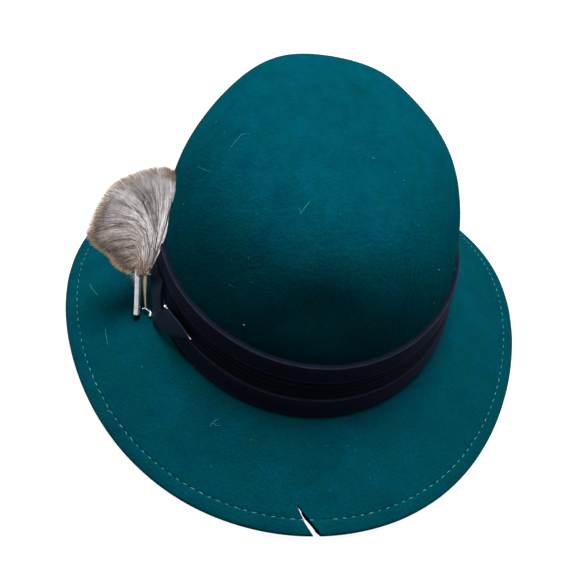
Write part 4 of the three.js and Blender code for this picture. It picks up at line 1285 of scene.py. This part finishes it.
class HAT_OT_metal(bpy.types.Operator):
    """Makes the tube, the stem with its drop, and the pin"""

    bl_idname = "hat.metal"
    bl_label = "Metal fittings"

    head_turns = (-88, 60)  # of the pin's round head, in degrees
    pin_point = ((1, 4 * MM), (0.6, 1.5 * MM))  # share of its radius, distance from its tip
    pin_tip = 0.05 * MM
    lip = 0.12 * MM
    # Beads of the tube at its lower and upper end: millimetres from the end, and how far in, in lips
    low_bead = ((-0.02, 1), (0.15, 0), (0.9, 0), (1.2, 1))
    high_bead = ((1.1, 1), (0.8, 0), (0.1, 0))

    def execute(self, context):
        trim = Trim(context.scene)
        brush, ribbon = trim.brush, trim.ribbon
        silver = metal_material("silver", brush.silver, srgb(150, 147, 140), 0.24)
        brass = metal_material("brass", brush.brass, srgb(92, 78, 56), 0.36)
        self.tube(trim, silver)
        for name, table, steps, sides, finish, nodes in (
            ("stem", STEM, 5, 20, (brass, "brass_metal"), ("brooch_stem",)),
            ("stem_wire", WIRE, 6, 10, (silver, "silver_metal"), ()),
            ("stem_drop", DROP, 6, 20, (silver, "silver_metal"), ()),
        ):
            rows = smooth_rows(table, steps)
            dress(rod(name, trim.stem(rows), rows[:, 3] * brush.stem_radius, sides), *finish, *nodes)
        bearing, up, off = np.array(PIN_ENDS).T
        near = 2 * ribbon.gap + ribbon.thick
        head, tip = trim.felt.beside(bearing, up * ribbon.height, near + off * ribbon.thick)
        run = np.linalg.norm(tip - head)
        turn = np.radians(np.linspace(*self.head_turns, 12))
        profile = [(brush.pin_head * math.cos(t), brush.pin_head * math.sin(t)) for t in turn]
        profile.append((brush.pin_radius, brush.pin_head))
        profile += [(part * brush.pin_radius, run - back) for part, back in self.pin_point]
        profile.append((self.pin_tip, run))
        dress(turned_piece("pin", head, unit(tip - head), profile, 24), silver, "silver_metal", "fixing_pin")
        return {"FINISHED"}

    def tube(self, trim, silver):
        """Rolled tube with a bead at each end, open below"""
        outer, run = trim.brush.tube_radius, trim.brush.tube_length
        bore = outer - trim.brush.tube_wall
        rows = [(bore, 0.0)]
        rows += [(outer - self.lip * inward, y * MM) for y, inward in self.low_bead]
        rows += [(outer - self.lip, y) for y in np.linspace(0.12, 0.86, 8) * run]
        rows += [(outer - self.lip * inward, run - y * MM) for y, inward in self.high_bead]
        rows += [(bore, y) for y in (run, *np.linspace(0.85, 0.15, 5) * run)]
        piece = turned_piece("tube", trim.foot, trim.axis, rows, loop=True)
        piece.data.set_sharp_from_angle(angle=math.radians(50))
        dress(piece, silver, "silver_metal", "brush_tube")


class HAT_OT_brush(bpy.types.Operator):
    """Grows the fan of hair from its knot"""

    bl_idname = "hat.brush"
    bl_label = "Hair brush"

    clumps = 420
    under_hairs, under_reach, under_radius = 420, 0.72, 0.6 * MM
    under_rim = 0.01  # as a share of a single hair's
    under_tones = (0.3, 1)
    # Pairs are for the fan's upper and lower side
    low_side = (0.35, 0.85)  # shares of the fan between which its lower side starts
    nearness = np.array((1, 0.3))  # weight of the places across and through the fan
    gathered = (0.25, 0.6)  # how far a hair is pulled to its clump
    shortened = (0.05, 0.25)  # how much shorter the shortest hairs are
    back_shortened = 0.03
    sway_turn, sway_lift = (4, 7), 0.1  # of a clump: degrees, and share of its bend's length
    lean, depths = 3, (5, 11)  # tilt of the fan and of its faces in degrees, without and with spread
    bend_tilt, flatness = 0.8, 0.25
    roots_in, roots_up, roots_fore = 0.8 * MM, 1 * MM, (0.4 * MM, 3.4 * MM)
    inner_part = 0.3
    streak_tone, low_tone, inner_tone, tone_spread, tone_base = 1.05, 0.5, 0.1, 0.3, -0.14
    rims, rim_range, girths = (0.8, 1.7), (0.6, 1.3), (0.7, 1.25)
    thick_hair = {"Steps": 8, "Frizz": 2 * MM, "Sides": 5}
    fine_hair = {"Steps": 9, "Frizz": 2.2 * MM, "Sides": 3}
    loose_look = {"tone": 0.4, "warm": 0.5, "rim": 0.3, "girth": 0.8}

    def execute(self, context):
        trim = Trim(context.scene)
        brush = trim.brush
        material, tree = hair_material(brush), hair_tree()
        draw = np.random.default_rng(brush.seed)
        under = self.marks(trim, draw, self.under_hairs, self.under_reach, 0.0)
        under["rim"] = under["rim"] * self.under_rim
        under["tone"] = between(self.under_tones, under["tone"])
        core = points_piece("hair_under", under["root"], under)
        grow(core, tree, {"Radius": self.under_radius, "Material": material, **self.thick_hair})
        dress(core, material, "hair", "fur_brush")
        for name in ("hair_left", "hair_right"):
            marks = self.marks(trim, draw, brush.hairs // 2, 1.0, 1.0)
            if name == "hair_left":
                marks = self.with_loose(trim, marks)
            piece = points_piece(name, marks["root"], marks)
            grow(piece, tree, {"Radius": brush.hair_radius, "Material": material, **self.fine_hair})
            dress(piece, material, "hair")
        return {"FINISHED"}

    def with_loose(self, trim, marks):
        """Adds the single hairs that hang loose beside the tube"""
        rows = np.array(LOOSE) * MM
        root = np.repeat((trim.tube(0.05) + trim.front * trim.brush.tube_radius)[None], len(rows), 0)
        off = rows @ np.array([trim.out, -trim.axis, trim.front])
        bend = root + 0.6 * off + 0.3 * np.outer(np.abs(rows[:, 1]), trim.axis)
        loose = {name: np.full(len(rows), value) for name, value in self.loose_look.items()}
        loose.update(root=root, bend=bend, tip=root + off)
        return {name: np.concatenate([values, loose[name]]) for name, values in marks.items()}

    def places(self, draw, count):
        """Places in the fan: from its upper to its lower side, and from its back to its front"""
        return np.stack([draw.uniform(0, 1, count), draw.uniform(-1, 1, count)], -1)

    def marks(self, trim, draw, count, reach, spread):
        """Root, bend and tip of each hair, gathered in clumps towards the tips, with its tones"""
        fan, brush = np.array(FAN, float), trim.brush
        clump = self.places(draw, self.clumps)
        streak = draw.uniform(0, 1, self.clumps) ** 2
        own = self.places(draw, count)
        away = (own * self.nearness)[:, None] - clump * self.nearness
        nearest = np.argmin((away ** 2).sum(-1), 1)
        first, last = self.low_side
        low = np.clip((own[:, 0] - first) / (last - first), 0, 1)
        pulled = own + (clump[nearest] - own) * (between(self.gathered, low) * spread)[:, None]
        place = np.linspace(0, 1, len(fan))
        turn, size, start, over = (np.interp(pulled[:, 0], place, fan[:, k]) for k in range(4))
        flat = 1 - self.flatness * spread * np.abs(pulled[:, 1])
        tilt = self.lean + between(self.depths, spread) * pulled[:, 1] * flat
        short = 1 - between(self.shortened, low) * draw.beta(1.2, 3, count)
        short = short - self.back_shortened * np.abs(own[:, 1])
        sway = draw.normal(0, 1, (self.clumps, 2))[nearest] * spread
        start = start + between(self.sway_turn, low) * sway[:, 0]
        size, over = size * MM * reach * short, over * MM * reach * (1 + self.sway_lift * sway[:, 1])
        inward = np.clip(1 - own[:, 0] + draw.normal(0, 0.2, count), 0, 1)
        root = trim.tube(0) - trim.out * (brush.bundle * inward - self.roots_in)[:, None]
        root = root - trim.axis * draw.uniform(-self.roots_up, brush.bundle_drop, (count, 1))
        root = root + trim.front * draw.uniform(*self.roots_fore, (count, 1))
        bend = trim.knot + trim.direction(start, self.bend_tilt * tilt) * over[:, None]
        tip = trim.knot + trim.direction(turn, tilt) * size[:, None]
        inner = np.clip(1 - own[:, 0] / self.inner_part, 0, 1)
        tone = self.streak_tone * streak[nearest] + self.low_tone * low + self.inner_tone * inner
        tone = tone + draw.normal(0, self.tone_spread, count) + self.tone_base
        rim = brush.rim * between(self.rims, low) * draw.uniform(*self.rim_range, count) / size
        return {
            "root": root, "bend": bend, "tip": tip, "tone": np.clip(tone, 0, 1), "warm": low,
            "rim": rim, "girth": draw.uniform(*self.girths, count),
        }


class HAT_OT_stage(bpy.types.Operator):
    """Sets the pale floor, the soft lights and the camera"""

    bl_idname = "hat.stage"
    bl_label = "Stage"

    camera_at = (-67.88, -258.54, 314.27)  # in millimetres
    elevation, azimuth, roll = 48.272, -13.094, 9.858  # of the camera, in degrees
    sensor = 36
    # Each light: the setting of its power, its size, place and aim, and whether it shines on the trim only
    lights = {
        "key": ("key", 0.9, (0.08, 0.3, 1.65), (0, 0, 0.05), False),
        "trim_light": ("trim", 0.12, (-0.36, -0.3, 0.55), (-0.1, -0.01, 0.07), True),
        "fill": ("fill", 0.8, (0.5, -0.7, 0.8), (0, 0, 0.05), False),
    }
    glow = 0.95
    floor_tones, floor_grain = ((0.3, 0.3, 0.3), (0.33, 0.33, 0.33)), 0.3

    def execute(self, context):
        scene, stage = context.scene, context.scene.hat_stage
        self.floor()
        world = scene.world = bpy.data.worlds.new("studio")
        world.use_nodes = True
        sky = world.node_tree.nodes["Background"].inputs
        sky["Color"].default_value, sky["Strength"].default_value = (1, 1, 1, 1), stage.sky
        lit = bpy.data.collections.new(TRIM_LIGHT)
        for name, (setting, size, place, target, only_trim) in self.lights.items():
            lamp = bpy.data.lights.new(name, "AREA")
            lamp.energy, lamp.size, lamp.shape = getattr(stage, setting), size, "DISK"
            holder = bpy.data.objects.new(name, lamp)
            scene.collection.objects.link(holder)
            holder.location, holder.rotation_mode = place, "QUATERNION"
            holder.rotation_quaternion = (Vector(target) - Vector(place)).to_track_quat("-Z", "Y")
            holder.light_linking.receiver_collection = lit if only_trim else None
        scene.view_settings.view_transform = "Standard"
        self.camera(scene, stage)
        return {"FINISHED"}

    def floor(self):
        """Closed dome that glows, without light or shadow on the hat"""
        turn = np.radians(np.arange(0, 360, 5))
        ring = np.stack([np.cos(turn), np.sin(turn), 0 * turn], -1)
        board = loft("floor", [ring * reach + (0, 0, height) for reach, height in BACKDROP])
        material, tree, sockets, where = new_material(
            "floor", Roughness=0.9, Specular_IOR_Level=0.1,
            Emission_Color=(1, 1, 1, 1), Emission_Strength=self.glow,
        )
        base = blended(tree, noise(tree, self.floor_grain, 2, where), *self.floor_tones)
        tree.links.new(base, sockets["Base Color"])
        board.data.materials.append(material)
        board.visible_diffuse = board.visible_shadow = False

    def camera(self, scene, stage):
        e, a, r = (math.radians(v) for v in (self.elevation, self.azimuth, self.roll))
        back = np.array([math.sin(a) * math.cos(e), -math.cos(a) * math.cos(e), math.sin(e)])
        right = unit(np.cross(-back, (0, 0, 1)))
        up = np.cross(right, -back)
        x = right * math.cos(r) + up * math.sin(r)
        y = -right * math.sin(r) + up * math.cos(r)
        lens = bpy.data.cameras.new("camera")
        lens.lens, lens.sensor_width, lens.clip_start = stage.lens, self.sensor, 0.01
        camera = bpy.data.objects.new("camera", lens)
        scene.collection.objects.link(camera)
        turn = Matrix((x, y, back)).transposed().to_4x4()
        turn.translation = [v * MM for v in self.camera_at]
        camera.matrix_world = turn
        scene.camera = camera


class HAT_PT_panel(bpy.types.Panel):
    """Lists the hat's sizes and the steps that build it"""

    bl_idname = "HAT_PT_panel"
    bl_label = "Tyrolean hat"
    bl_space_type = "VIEW_3D"
    bl_region_type = "UI"
    bl_category = "Hat"

    def draw(self, context):
        for name, group in GROUPS.items():
            box = self.layout.box()
            box.label(text=group.__name__)
            for prop in group.__annotations__:
                box.prop(getattr(context.scene, name), prop)
        for operator in STEPS:
            self.layout.operator(operator.bl_idname)


GROUPS = {
    "hat_form": HatForm, "hat_ribbon": HatRibbon, "hat_stitch": HatStitch, "hat_brush": HatBrush,
    "hat_stage": HatStage,
}
STEPS = (
    HAT_OT_stage, HAT_OT_felt, HAT_OT_nap, HAT_OT_lint, HAT_OT_stitches,
    HAT_OT_band, HAT_OT_ribbon_ends, HAT_OT_metal, HAT_OT_brush,
)


def register():
    for group in GROUPS.values():
        bpy.utils.register_class(group)
    for name, group in GROUPS.items():
        setattr(bpy.types.Scene, name, PointerProperty(type=group))
    for step in (*STEPS, HAT_PT_panel):
        bpy.utils.register_class(step)


def unregister():
    for step in (HAT_PT_panel, *reversed(STEPS)):
        bpy.utils.unregister_class(step)
    for name in GROUPS:
        delattr(bpy.types.Scene, name)
    for group in GROUPS.values():
        bpy.utils.unregister_class(group)


def main():
    """Builds the hat"""
    register()
    for step in STEPS:
        family, name = step.bl_idname.split(".")
        getattr(getattr(bpy.ops, family), name)()


if __name__ == "__main__":
    main()
